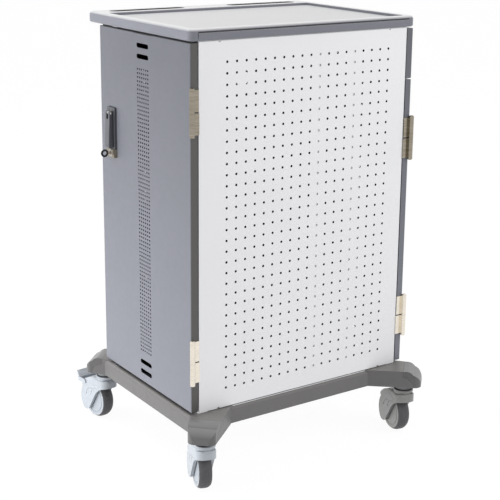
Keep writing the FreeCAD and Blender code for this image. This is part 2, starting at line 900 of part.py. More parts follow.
# Door handle with lock, lever and rack-driven rods, all drawn on the front face
def make_handle(key_in):
    face = -end_y
    inside = face + sheet
    base_front = face - handle_base_thickness
    base = box(span(handle_x, handle_width), (base_front, face), (lock_top, handle_base_top))
    base = round_edges(base, handle_corner, lambda edge: runs_along(edge, Y_AXIS)
                       and edge.BoundBox.ZMin > lock_top + 1)
    sleeve_end = V(handle_x, inside + drive_depth - rod_gap, spindle_level)
    sleeve = cylinder(spindle_radius + sleeve_wall, V(handle_x, face, spindle_level), sleeve_end)
    bore_start = V(handle_x, base_front - 1, spindle_level)
    bore = cylinder(spindle_radius + running_gap, bore_start, sleeve_end + Y_AXIS)
    base = join(base, sleeve).cut(bore)
    block = box(span(handle_x, handle_width), (face - lock_block_thickness, face), (lock_bottom, lock_top))
    block = round_edges(block, handle_corner, lambda edge: runs_along(edge, Y_AXIS)
                        and edge.BoundBox.ZMax < lock_top - 1)
    cam_y = -end_y + door_thickness - 2 * sheet - cam_thickness
    lock_axis = V(handle_x, 0, lock_level)
    barrel = cylinder(lock_barrel_radius, lock_axis + Y_AXIS * face, lock_axis + Y_AXIS * (cam_y - rod_gap))
    plug_room = cylinder(plug_radius + running_gap, lock_axis + Y_AXIS * (face - 2 * lock_block_thickness),
                         lock_axis + Y_AXIS * end_y)
    lock_block = join(block, barrel).cut(plug_room)
    plug_front = face - lock_block_thickness - plug_proud
    plug = cylinder(plug_radius, lock_axis + Y_AXIS * plug_front, lock_axis + Y_AXIS * cam_y)
    cam = box((handle_x - plug_radius, handle_x + cam_length), (cam_y, cam_y + cam_thickness),
              span(lock_level, 2 * plug_radius))
    keyway_width = key_thickness + 2 * key_slot_gap
    keyway = box(span(handle_x, keyway_width), (plug_front - 1, plug_front + key_slot_depth),
                 span(lock_level, key_blade_height + 2 * key_slot_gap))
    pieces = {"handle_base": base, "lock_block": lock_block, "lock_plug": join(plug, cam).cut(keyway)}
    if key_in:
        head_centre = V(handle_x - key_thickness / 2, plug_front - key_reach, lock_level)
        head = Part.makeCylinder(key_head_radius, key_thickness, head_centre, X_AXIS)
        blade = box(span(handle_x, key_thickness), (plug_front - key_reach, plug_front + key_insert),
                    span(lock_level, key_blade_height))
        eye_start = head_centre - X_AXIS * key_thickness
        eye = Part.makeCylinder(key_hole_radius, 3 * key_thickness, eye_start, X_AXIS)
        pieces["key"] = join(head, blade).cut(eye)

    # Spindle: tongue and cross pin outside, rack pinion inside the door
    lever_back = base_front - lever_gap
    pin_y = lever_back - lever_thickness / 2
    tongue_round = lever_thickness / 2 - tongue_gap
    spindle_front = base_front - lever_gap + tongue_gap
    tongue = box(span(handle_x, tongue_width), (pin_y, spindle_front), span(spindle_level, 2 * tongue_round))
    nose = cylinder(tongue_round, V(handle_x - tongue_width / 2, pin_y, spindle_level),
                    V(handle_x + tongue_width / 2, pin_y, spindle_level))
    pin_half = lever_width / 2 - cross_pin_inset
    cross_pin = cylinder(cross_pin_radius, V(handle_x - pin_half, pin_y, spindle_level),
                         V(handle_x + pin_half, pin_y, spindle_level))
    rack_front = inside + drive_depth
    spindle = cylinder(spindle_radius, V(handle_x, spindle_front, spindle_level),
                       V(handle_x, rack_front, spindle_level))
    pieces["spindle"] = join(spindle, tongue, nose, cross_pin, pinion(rack_front))
    pieces["lever"] = lever(lever_back, pin_y)
    return pieces


def lever(back, pin_y):
    """Swing lever: rounded about its pivot pin, flared outwards at its lower end."""
    half = lever_width / 2
    round_radius = lever_thickness / 2
    front = back - lever_thickness
    left = handle_x - half
    profile = outline(
        V(left, back, lever_end),
        V(left, back, spindle_level),
        (V(left, pin_y, spindle_level + round_radius), V(left, front, spindle_level)),
        V(left, front - lever_flare, lever_end + lever_tip),
        V(left, front - lever_flare, lever_end),
    )
    arm = prism(profile, V(lever_width, 0, 0))
    arm = round_edges(arm, lever_edge_radius,
                      lambda edge: edge.BoundBox.XLength < 1e-4 and edge.BoundBox.YMax < back - 1)
    slot_half = tongue_width / 2 + tongue_gap
    reach = round_radius + tongue_gap
    slot = box((handle_x - slot_half, handle_x + slot_half), (front - 1, back + 1),
               (spindle_level - reach - lever_thickness, spindle_level + reach + 1))
    bore_half = half - cross_pin_inset + tongue_gap
    bore = cylinder(cross_pin_radius + running_gap, V(handle_x - bore_half, pin_y, spindle_level),
                    V(handle_x + bore_half, pin_y, spindle_level))
    return arm.cut(Part.makeCompound([slot, bore]))


def tooth_outline(half_low, half_high, low, high):
    """Four corners of a straight-sided tooth standing along +X."""
    return V(low, 0, -half_low), V(high, 0, -half_high), V(high, 0, half_high), V(low, 0, half_low)


def pinion(front):
    """Straight-toothed pinion on the spindle, its axis along Y."""
    pitch = math.pi * rack_module
    root = pitch_radius - tooth_depth * rack_module
    tip = pitch_radius + tooth_height * rack_module
    start = V(handle_x, front, spindle_level)
    blank = cylinder(root, start, start + Y_AXIS * rod_thickness)
    teeth = []
    for number in range(pinion_teeth):
        corner_points = tooth_outline(tooth_foot * pitch, tooth_tip * pitch, root - tooth_sink, tip)
        tooth = prism(outline(*corner_points), V(0, rod_thickness, 0))
        tooth.rotate(V(0, 0, 0), Y_AXIS, 360 * number / pinion_teeth)
        tooth.translate(start)
        teeth.append(tooth)
    return join(blank, *teeth)


def rod(side, low, high):
    """Flat lock rod beside the pinion; its rack teeth face the pinion. side is +1 or -1 along X."""
    pitch = math.pi * rack_module
    front = -end_y + sheet + drive_depth
    body = pitch_radius + tooth_depth * rack_module
    near = handle_x + side * body
    bar = box((near, near + side * rod_width), (front, front + rod_thickness), (low, high))
    teeth = []
    count = int(2 * rod_overlap / pitch) - 1
    for number in range(-count, count + 1):
        level = (number + 0.5) * pitch
        if low + 1 < spindle_level + level < high - 1 and abs(level) < rod_overlap - 1:
            reach = body - pitch_radius + tooth_height * rack_module
            corner_points = tooth_outline(tooth_foot * pitch, tooth_tip * pitch, 0, reach)
            placed = [V(near - side * (point.x - tooth_sink), front, spindle_level + level + point.z)
                      for point in corner_points]
            teeth.append(prism(outline(*placed), V(0, rod_thickness, 0)))
    return join(bar, *teeth)


def rod_parts(z):
    """Upper and lower rods with their guides, for a door that spans the heights z."""
    front = -end_y + sheet + drive_depth
    near = pitch_radius + tooth_depth * rack_module
    upper = rod(1, spindle_level - rod_overlap, z[1] - rod_setback)
    lower = rod(-1, z[0] + rod_setback, spindle_level + rod_overlap)
    guides = []
    places = [(1, spindle_level + guide_near), (1, z[1] - guide_far),
              (-1, spindle_level - guide_near), (-1, z[0] + guide_far)]
    guide_back = front + rod_thickness + rod_gap + guide_wall
    for side, level in places:
        inner = handle_x + side * (near - rod_gap)
        outer = handle_x + side * (near + rod_width + rod_gap)
        block = box((inner - side * guide_wall, outer + side * guide_wall),
                    (-end_y + sheet, guide_back), (level, level + guide_length))
        channel = box((inner, outer), (front - rod_gap, front + rod_thickness + rod_gap),
                      (level - 1, level + guide_length + 1))
        guides.append(block.cut(channel))
    return upper, lower, guides


def rod_window(side, z):
    """Room for a rod to pass through a flange, plate or rail between two heights."""
    front = -end_y + sheet + drive_depth
    near = pitch_radius + tooth_depth * rack_module
    inner = handle_x + side * (near - rod_gap)
    outer = handle_x + side * (near + rod_width + rod_gap)
    return box((inner, outer), (front - rod_gap, front + rod_thickness + rod_gap), z)


def keeper(side, z):
    """Keeper plate round a rod's end."""
    room = rod_window(side, z).BoundBox
    back = -end_y + door_thickness - sheet
    plate = box((room.XMin - keeper_margin, room.XMax + keeper_margin), (-end_y + bend_radius, back), z)
    return plate.cut(rod_window(side, (z[0] - 1, z[1] + 1)))


def door_set(end, z):
    """All pieces of one door, drawn at the front."""
    key_in = end == "front"
    pieces = make_handle(key_in)
    upper, lower, guides = rod_parts(z)
    sleeve_room = spindle_radius + sleeve_wall + rod_gap
    sleeve_hole = cylinder(sleeve_room, V(handle_x, -end_y - 1, spindle_level),
                           V(handle_x, -end_y + sheet + 1, spindle_level))
    lock_hole = cylinder(lock_barrel_radius + rod_gap, V(handle_x, -end_y - 1, lock_level),
                         V(handle_x, -end_y + sheet + 1, lock_level))
    top_window = rod_window(1, (z[1] - 2 * sheet, z[1] + 1))
    low_window = rod_window(-1, (z[0] - 1, z[0] + 2 * sheet))
    pan = sheet_pan(z, [sleeve_hole, lock_hole, top_window, low_window], vent_window(z))
    pieces["door"] = join(pan, *guides)
    pieces["upper_rod"] = upper
    pieces["lower_rod"] = lower
    return pieces


def make_doors():
    fixed = []
    keepers = []
    for end, top in (("front", door_top), ("rear", rear_door_top)):
        pieces = door_set(end, (door_bottom, top))
        halves, posts = make_hinges(end)
        pieces["hinge_halves"] = Part.makeCompound(halves)
        plates = [keeper(-1, (rail_top, rail_top + keeper_thickness))]
        if end == "front":
            plates.append(keeper(1, (top_bottom - keeper_thickness, top_bottom)))
        else:
            seat = top + rear_seam + sheet
            plates.append(keeper(1, (seat, seat + keeper_thickness)))
        for name, piece in pieces.items():
            nodes[end + "_" + name] = piece if end == "front" else mirrored(piece, Y_AXIS)
        fixed += posts if end == "front" else [mirrored(piece, Y_AXIS) for piece in posts]
        keepers += plates if end == "front" else [mirrored(piece, Y_AXIS) for piece in plates]
    nodes["fixed_hinge_halves"] = Part.makeCompound(fixed)
    nodes["rod_keepers"] = Part.makeCompound(keepers)


# Fixed panel above the rear door, with the mains inlet and its rocker switch
def make_rear_panel():
    z = (rear_door_top + rear_seam, door_top)
    centre = (z[0] + z[1]) / 2
    switch_x = inlet_offset - switch_spacing
    room = rod_window(1, (z[0] - 1, z[0] + 2 * sheet))
    through = (-end_y - 1, -end_y + sheet + 1)
    inlet_hole = box(span(inlet_offset, inlet_width), through, span(centre, inlet_height))
    bezel_x = span(switch_x, switch_width + 2 * switch_bezel)
    bezel_z = span(centre, switch_height + 2 * switch_bezel)
    switch_hole = box(bezel_x, through, bezel_z)
    panel = sheet_pan(z, [room, inlet_hole, switch_hole])
    tie = box((-side_x, side_x), (-end_y + door_thickness, -panel_end), z)
    hollow = box((-post_outer + post_size, post_outer - post_size), (-end_y, 0), (z[0] - 1, z[1] + 1))
    panel = join(panel, tie.cut(hollow))
    nodes["rear_upper_panel"] = mirrored(panel, Y_AXIS)

    flange_front = -end_y - inlet_flange_thickness
    flange = box(span(inlet_offset, inlet_width + 2 * inlet_flange), (flange_front, -end_y),
                 span(centre, inlet_height + 2 * inlet_flange))
    flange = round_edges(flange, inlet_corner_radius, lambda edge: runs_along(edge, Y_AXIS))
    body = box(span(inlet_offset, inlet_width), (-end_y, -end_y + inlet_depth), span(centre, inlet_height))
    socket_back = flange_front + inlet_socket_depth
    socket = box(span(inlet_offset, inlet_socket_width), (flange_front - 1, socket_back),
                 span(centre, inlet_socket_height))
    pins = []
    for column, rise in ((-1, -inlet_pin_drop), (0, inlet_earth_rise), (1, -inlet_pin_drop)):
        pin_x = span(inlet_offset + inlet_pin_spacing * column, inlet_pin_width)
        pin_z = span(centre + rise, inlet_pin_height)
        pins.append(box(pin_x, (flange_front + inlet_pin_setback, socket_back), pin_z))
    inlet = join(join(flange, body).cut(socket), *pins)

    bezel = box(bezel_x, (flange_front, -end_y + switch_thickness + switch_bezel), bezel_z)
    well_x = switch_width / 2 + switch_gap
    well_z = switch_height / 2 + 2 * switch_gap
    well = box((switch_x - well_x, switch_x + well_x), (flange_front - 1, -end_y + switch_thickness),
               (centre - well_z, centre + well_z))
    pivot = V(switch_x, -end_y, centre)
    bezel_pin = cylinder(switch_pin_radius, pivot - X_AXIS * (well_x + 1), pivot + X_AXIS * (well_x + 1))
    holder = join(bezel.cut(well), bezel_pin)
    nodes["power_inlet"] = mirrored(Part.makeCompound([inlet, holder]), Y_AXIS)
    dip = math.tan(math.radians(switch_tilt)) * switch_height / 2
    left = switch_x - switch_width / 2
    rocker = prism(outline(
        V(left, flange_front - dip, centre - switch_height / 2),
        (V(left, flange_front + rocker_hollow, centre),
         V(left, flange_front - dip, centre + switch_height / 2)),
        V(left, -end_y + rocker_edge_depth, centre + switch_height / 2),
        V(left, -end_y + rocker_depth, centre),
        V(left, -end_y + rocker_edge_depth, centre - switch_height / 2),
    ), V(switch_width, 0, 0))
    reach = X_AXIS * switch_width
    eye = cylinder(switch_pin_radius + running_gap, pivot - reach, pivot + reach)
    rocker = rocker.cut(eye)
    rocker.rotate(pivot, X_AXIS, switch_tilt)
    nodes["power_switch"] = mirrored(rocker, Y_AXIS)


# Top: moulded frame with the grip overhang, and the work surface let into it
def make_top():
    x = (-side_x - grip_overhang, side_x + top_right_outset)
    y = (-end_y - top_end_outset, end_y + top_end_outset)
    frame = rounded_slab(x, y, (top_bottom, top_level), top_corner_radius)
    frame = round_edges(frame, top_edge_radius, lambda edge: lies_at(edge, top_level))
    frame = round_edges(frame, top_lower_radius, lambda edge: lies_at(edge, top_bottom))
    tray_x = (-side_x + tray_left_border, x[1] - tray_border)
    tray_y = (y[0] + tray_end_border, y[1] - tray_end_border)
    tray_floor = top_level - tray_depth
    tray = rounded_slab(tray_x, tray_y, (tray_floor, top_level + 1), tray_corner_radius)
    slot_x = x[0] + grip_bar_width + grip_slot_width / 2
    slots = []
    for sign in (-1, 1):
        centre = V(slot_x, sign * grip_slot_spacing / 2, top_bottom - 1)
        slot = obround(centre, grip_slot_length, grip_slot_width, Y_AXIS, X_AXIS)
        slots.append(prism(slot, V(0, 0, top_thickness + 2)))
    frame = frame.cut(Part.makeCompound([tray] + slots))

    def on_slot(edge):
        flat = lies_at(edge, top_level) or lies_at(edge, top_bottom)
        within = edge.BoundBox.XMax < slot_x + grip_slot_width / 2 + 1e-3
        return flat and within and edge.BoundBox.XMin > slot_x - grip_slot_width / 2 - 1e-3

    def on_tray(edge):
        frame_box = edge.BoundBox
        within_x = frame_box.XMin > tray_x[0] - 1e-3 and frame_box.XMax < tray_x[1] + 1e-3
        within_y = frame_box.YMin > tray_y[0] - 1e-3 and frame_box.YMax < tray_y[1] + 1e-3
        return lies_at(edge, top_level) and within_x and within_y

    frame = round_edges(frame, grip_edge_radius, on_slot)
    frame = round_edges(frame, tray_edge_radius, on_tray)
    pocket = rod_window(1, (top_bottom - 1, door_top + rod_throw + throw_clearance))
    nodes["top_frame"] = frame.cut(pocket)
    inset_x = (tray_x[0] + seat_gap, tray_x[1] - seat_gap)
    inset_y = (tray_y[0] + seat_gap, tray_y[1] - seat_gap)
    inset_z = (tray_floor, tray_floor + work_surface_thickness)
    nodes["work_surface"] = rounded_slab(inset_x, inset_y, inset_z, tray_corner_radius - seat_gap)


# Inside: partition, shelves, device racks and the charging gear
def make_inside():
    centres = [floor_top + (tier + 0.5) * tier_pitch for tier in range(tier_count)]
    frame = outline(V(-post_outer, partition_y, floor_top), V(post_outer, partition_y, floor_top),
                    V(post_outer, partition_y, door_top), V(-post_outer, partition_y, door_top))
    holes = []
    for level in centres:
        for column in (-1, 0, 1):
            centre = V(column * cable_slot_spacing, partition_y, level)
            holes.append(obround(centre, cable_slot_length, cable_slot_height, X_AXIS, Z_AXIS))
    nodes["rear_partition"] = pierced_plate(frame, holes, V(0, sheet, 0))
    shelves = []
    for tier, name in enumerate(("lower", "middle", "upper")):
        deck = floor_top + tier * tier_pitch
        if tier > 0:
            shelves.append(box((-shelf_half_width, shelf_half_width), (-shelf_front, partition_y),
                               (deck - shelf_thickness, deck)))
        nodes[name + "_rack"] = rack(deck)
    nodes["shelves"] = Part.makeCompound(shelves)
    strips = []
    for sign in (-1, 1):
        strips.append(power_strip(sign * strip_spacing / 2))
    nodes["power_strips"] = Part.makeCompound(strips)
    front = partition_y + sheet
    case = box((-controller_width / 2, controller_width / 2), (front, front + controller_depth),
               (floor_top, floor_top + controller_height))
    nodes["charge_controller"] = round_edges(case, controller_edge_radius,
                                              lambda edge: edge.BoundBox.YMin > front + 1)


def rack(deck):
    """Comb of upright fins that keeps the devices apart."""
    back = rack_depth - shelf_front
    base = box(span(0, 2 * rack_half_width + rack_fin), (-shelf_front, back), (deck, deck + rack_base))
    fins = []
    high = deck + rack_base + rack_fin_height
    slope = rack_fin_radius * (1 - math.sqrt(0.5))
    for number in range(rack_slots + 1):
        x = -rack_half_width + number * 2 * rack_half_width / rack_slots - rack_fin / 2
        fin = outline(
            V(x, -shelf_front, deck + rack_base),
            V(x, -shelf_front, high - rack_fin_radius),
            (V(x, -shelf_front + slope, high - slope), V(x, -shelf_front + rack_fin_radius, high)),
            V(x, back, high),
            V(x, back, deck + rack_base),
        )
        fins.append(prism(fin, V(rack_fin, 0, 0)))
    return join(base, *fins)


def power_strip(x):
    """Upright outlet strip on the back of the partition."""
    front = partition_y + sheet
    low = floor_top + strip_lift
    case = box(span(x, strip_width), (front, front + strip_depth), (low, low + strip_height))
    case = round_edges(case, strip_edge_radius, lambda edge: edge.BoundBox.YMin > front + 1)
    step = strip_height / socket_count
    sockets = []
    for number in range(socket_count):
        centre = V(x, front + strip_depth - socket_depth, low + (number + 0.5) * step)
        sockets.append(cylinder(socket_radius, centre, centre + Y_AXIS * (socket_depth + 1)))
    return case.cut(Part.makeCompound(sockets))


def main():
    make_base()
    make_casters()
    make_shell()
    make_doors()
    make_rear_panel()
    make_top()
    make_inside()
    os.makedirs("parts", exist_ok=True)
    for name, shape in nodes.items():
        shape.exportStep("parts/" + name + ".step")
        sound = all(solid.isValid() and solid.Volume > 0 for solid in shape.Solids)
        volume = shape.Volume / 1000
        print(f"{name:28s} solids {len(shape.Solids):3d}  volume {volume:10.2f} cm3  sound {sound}")
    print(len(nodes), "nodes")


main()
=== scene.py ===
import json
import math
import bmesh
import bpy
from mathutils import Matrix, Vector


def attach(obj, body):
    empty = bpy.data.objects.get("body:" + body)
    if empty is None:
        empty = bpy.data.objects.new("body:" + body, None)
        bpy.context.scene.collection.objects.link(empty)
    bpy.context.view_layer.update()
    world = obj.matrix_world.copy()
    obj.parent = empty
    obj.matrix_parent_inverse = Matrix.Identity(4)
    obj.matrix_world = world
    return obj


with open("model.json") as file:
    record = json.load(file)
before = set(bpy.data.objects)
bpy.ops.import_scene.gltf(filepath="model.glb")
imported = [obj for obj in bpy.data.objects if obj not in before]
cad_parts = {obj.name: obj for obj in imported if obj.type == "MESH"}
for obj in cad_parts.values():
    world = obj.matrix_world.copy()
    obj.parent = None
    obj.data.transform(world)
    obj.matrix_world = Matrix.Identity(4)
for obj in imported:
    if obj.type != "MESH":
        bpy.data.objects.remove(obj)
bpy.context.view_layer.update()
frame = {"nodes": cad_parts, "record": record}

# Camera, in metres and degrees
eye = (2.4402, -1.6666, 1.3572)
azimuth = 55.90
elevation = 14.22
roll = 0.53
focal_pixels = 1223.3
image_pixels = 500
sensor = 36.0
shift_up = -0.1
far_clip = 100.0

# Colours that several finishes share
# Painted shade for hole walls, sheet insides and hollows
shade_dark = (0.030, 0.030, 0.032, 1.0)
# Painted shade for plastic at the rear right corner
shaded_plastic = (0.25, 0.25, 0.245, 1.0)
# Tone of dust, and of the painted top light on faces that look up
dust_and_top_light_colour = (0.42, 0.40, 0.37, 1.0)

# Heights between which the painted floor reflection fades, from most at the foot to none at the head
reflection_foot = 0.2
reflection_head = 1.0

# Range that noise rarely leaves
noise_low = 0.3
noise_high = 0.7


# Material building
class Nodes:
    """Small builder for one node tree."""

    def __init__(self, tree):
        self.tree = tree

    def add(self, kind, inputs=None, **settings):
        node = self.tree.nodes.new(kind)
        for key, value in settings.items():
            setattr(node, key, value)
        for key, value in (inputs or {}).items():
            self.feed(node.inputs[key], value)
        return node

    def feed(self, socket, value):
        if isinstance(value, bpy.types.NodeSocket):
            self.tree.links.new(value, socket)
        else:
            socket.default_value = value

    def place(self, group, inputs):
        """Outputs of a node group placed with its own values."""
        return self.add("ShaderNodeGroup", inputs, node_tree=group).outputs

    def axes(self, vector):
        """X, Y and Z of a vector."""
        return self.add("ShaderNodeSeparateXYZ", {"Vector": vector}).outputs

    def stretched(self, vector, scale):
        return self.add("ShaderNodeMapping", {"Vector": vector, "Scale": scale}).outputs["Vector"]

    def noise(self, position, scale, detail=3.0, rough=0.55):
        node = self.add("ShaderNodeTexNoise", {"Vector": position, "Scale": scale, "Detail": detail,
                                               "Roughness": rough})
        return node.outputs["Fac"]

    def spread(self, value, low, high, out_low=0.0, out_high=1.0):
        """Value remapped from one range to another, held at the ends."""
        node = self.add("ShaderNodeMapRange", {"Value": value, "From Min": low, "From Max": high,
                                               "To Min": out_low, "To Max": out_high})
        return node.outputs["Result"]

    def even(self, noise, out_low=0.0, out_high=1.0):
        """Noise spread over a whole range."""
        return self.spread(noise, noise_low, noise_high, out_low, out_high)

    def gloss(self, noise, rough, less, more):
        """Roughness that noise takes down by less and up by more."""
        return self.even(noise, self.math("SUBTRACT", rough, less), self.math("ADD", rough, more))

    def math(self, operation, first, second=0.0):
        node = self.add("ShaderNodeMath", operation=operation)
        self.feed(node.inputs[0], first)
        self.feed(node.inputs[1], second)
        return node.outputs[0]

    def both(self, first, second):
        """Mask where two masks meet."""
        return self.math("MULTIPLY", first, second)

    def mix(self, factor, first, second):
        node = self.add("ShaderNodeMix", data_type="RGBA")
        self.feed(node.inputs[0], factor)
        self.feed(node.inputs[6], first)
        self.feed(node.inputs[7], second)
        return node.outputs[2]

    def bump(self, height, strength, distance):
        node = self.add("ShaderNodeBump", {"Height": height, "Strength": strength, "Distance": distance})
        return node.outputs["Normal"]

    def background_seen(self):
        """1 for rays that show the background: straight, mirrored or through glass."""
        path = self.add("ShaderNodeLightPath").outputs
        shown = self.math("MAXIMUM", path["Is Camera Ray"], path["Is Glossy Ray"])
        return self.math("MAXIMUM", shown, path["Is Transmission Ray"])


def new_group(name, inputs, outputs):
    """Node group with named sockets: the group, its builder, what it is given and what it puts out."""
    group = bpy.data.node_groups.new(name, "ShaderNodeTree")
    for way, sockets in (("INPUT", inputs), ("OUTPUT", outputs)):
        for label, kind in sockets.items():
            group.interface.new_socket(label, in_out=way, socket_type="NodeSocket" + kind)
    nodes = Nodes(group)
    given = nodes.add("NodeGroupInput").outputs
    result = nodes.add("NodeGroupOutput").inputs
    return group, nodes, given, result


# Effects that several materials share
def make_facing_up():
    """Mask of faces that look up: 0 at the low rise of the normal, 1 at the high one."""
    group, nodes, given, result = new_group("facing_up", {"Low": "Float", "High": "Float"}, {"Mask": "Float"})
    facing = nodes.add("ShaderNodeTexCoord").outputs["Normal"]
    nodes.feed(result["Mask"], nodes.spread(nodes.axes(facing)["Z"], given["Low"], given["High"]))
    return group


def make_powder_coat():
    """Sprayed coat: broad and fine mottling between two tones, uneven gloss and orange-peel grain."""
    group, nodes, given, result = new_group(
        "powder_coat",
        {"Position": "Vector", "Dark Tone": "Color", "Light Tone": "Color", "Roughness": "Float"},
        {"Color": "Color", "Roughness": "Float", "Grain": "Float"})
    broad_share = 0.7
    broad = nodes.noise(given["Position"], 7.0)
    fine = nodes.noise(given["Position"], 420.0, 2.0)
    mottle = nodes.math("ADD", nodes.math("MULTIPLY", broad, broad_share),
                        nodes.math("MULTIPLY", fine, 1 - broad_share))
    nodes.feed(result["Color"], nodes.mix(nodes.even(mottle), given["Dark Tone"], given["Light Tone"]))
    sheen = nodes.noise(given["Position"], 60.0)
    nodes.feed(result["Roughness"], nodes.gloss(sheen, given["Roughness"], 0.05, 0.06))
    nodes.feed(result["Grain"], fine)
    return group


def make_dust_and_lit_tops():
    """Dust that hangs in patches low on the cart, and a pale tone on what faces up, which is painted top
    light.
    """
    group, nodes, given, result = new_group(
        "dust_and_lit_tops",
        {"Position": "Vector", "Color": "Color", "Upward": "Float", "Amount": "Float"},
        {"Color": "Color"})
    thick_below = 0.16
    clear_above = 0.5
    lit_top_share = 4.0
    height = nodes.axes(given["Position"])["Z"]
    low = nodes.spread(height, thick_below, clear_above, given["Amount"], 0.0)
    hanging = nodes.both(low, nodes.noise(given["Position"], 26.0, 5.0, 0.7))
    # Painted top light: faces that look up take the pale tone
    lit_top = nodes.both(given["Upward"], nodes.math("MULTIPLY", given["Amount"], lit_top_share))
    tone = nodes.mix(hanging, given["Color"], dust_and_top_light_colour)
    nodes.feed(result["Color"], nodes.mix(lit_top, tone, dust_and_top_light_colour))
    return group


def make_shaded_core():
    """Coat on the outer skin of a sheet, and painted shade below it, so inner sides and hole walls read dark.
    """
    group, nodes, given, result = new_group(
        "shaded_core", {"Color": "Color", "Depth": "Float", "Skin": "Float"}, {"Color": "Color"})
    coat_thickness = 0.0004
    underside = nodes.math("SUBTRACT", given["Skin"], coat_thickness)
    coated = nodes.spread(nodes.math("ABSOLUTE", given["Depth"]), underside, given["Skin"])
    nodes.feed(result["Color"], nodes.mix(coated, shade_dark, given["Color"]))
    return group


def make_moulding():
    """Moulded plastic: faint flow streaks between two tones, and fine grain that changes the gloss."""
    group, nodes, given, result = new_group(
        "moulding",
        {"Position": "Vector", "Dark Tone": "Color", "Light Tone": "Color", "Roughness": "Float",
         "Grain Scale": "Float"},
        {"Color": "Color", "Roughness": "Float", "Grain": "Float"})
    flow = nodes.noise(nodes.stretched(given["Position"], (9.0, 9.0, 40.0)), 1.0, 4.0)
    grain = nodes.noise(given["Position"], given["Grain Scale"], 2.0)
    nodes.feed(result["Color"], nodes.mix(nodes.even(flow), given["Dark Tone"], given["Light Tone"]))
    nodes.feed(result["Roughness"], nodes.gloss(grain, given["Roughness"], 0.04, 0.05))
    nodes.feed(result["Grain"], grain)
    return group


def make_shaded_corner():
    """Painted shade on plastic at the rear right corner of the cart, where the cart's shadow falls."""
    group, nodes, given, result = new_group(
        "shaded_corner", {"Position": "Vector", "Color": "Color", "Shade Color": "Color"}, {"Color": "Color"})
    lit_below = 0.30
    shaded_above = 0.40
    place = nodes.axes(given["Position"])
    corner = nodes.spread(nodes.math("ADD", place["X"], place["Y"]), lit_below, shaded_above)
    nodes.feed(result["Color"], nodes.mix(corner, given["Color"], given["Shade Color"]))
    return group


def make_plating():
    """Plated or bare metal: polish lines one way, patchy tarnish, and a painted dark reflection on the upper
    half of the cart.
    """
    group, nodes, given, result = new_group(
        "plating",
        {"Position": "Vector", "Line Scale": "Vector", "Dark Tone": "Color", "Light Tone": "Color",
         "Tarnish And Reflection Color": "Color", "Tarnish": "Float", "Age": "Float", "Roughness": "Float"},
        {"Color": "Color", "Roughness": "Float", "Lines": "Float"})
    least_reflection = 0.7
    reflection_clear_below = 0.5
    reflection_full_above = 0.7
    lines = nodes.noise(nodes.stretched(given["Position"], given["Line Scale"]), 1.0)
    blotches = nodes.noise(given["Position"], 45.0, 4.0, 0.65)
    patches = nodes.spread(blotches, 0.45, 0.75, 0.0, given["Tarnish"])
    # Painted dark reflection: the upper half of the cart darkens along the polish lines
    streaks = nodes.even(lines, nodes.math("MULTIPLY", given["Age"], least_reflection), given["Age"])
    upper = nodes.spread(nodes.axes(given["Position"])["Z"], reflection_clear_below, reflection_full_above)
    dull = nodes.math("MAXIMUM", patches, nodes.both(streaks, upper))
    bright = nodes.mix(nodes.even(lines), given["Dark Tone"], given["Light Tone"])
    nodes.feed(result["Color"], nodes.mix(dull, bright, given["Tarnish And Reflection Color"]))
    nodes.feed(result["Roughness"], nodes.gloss(lines, given["Roughness"], 0.05, 0.08))
    nodes.feed(result["Lines"], lines)
    return group


facing_up = make_facing_up()
powder_coat = make_powder_coat()
dust_and_lit_tops = make_dust_and_lit_tops()
shaded_core = make_shaded_core()
moulding = make_moulding()
shaded_corner = make_shaded_corner()
plating = make_plating()


# Materials
def shade(colour, factor=1.0):
    """Colour made lighter or darker, as RGBA."""
    return tuple(min(1.0, channel * factor) for channel in colour) + (1.0,)


def new_material(name):
    """Material with a node builder, its shader and its object coordinates."""
    material = bpy.data.materials.new(name)
    material.use_nodes = True
    tree = material.node_tree
    nodes = Nodes(tree)
    shader = tree.nodes["Principled BSDF"]
    position = nodes.add("ShaderNodeTexCoord").outputs["Object"]
    return material, nodes, shader, position


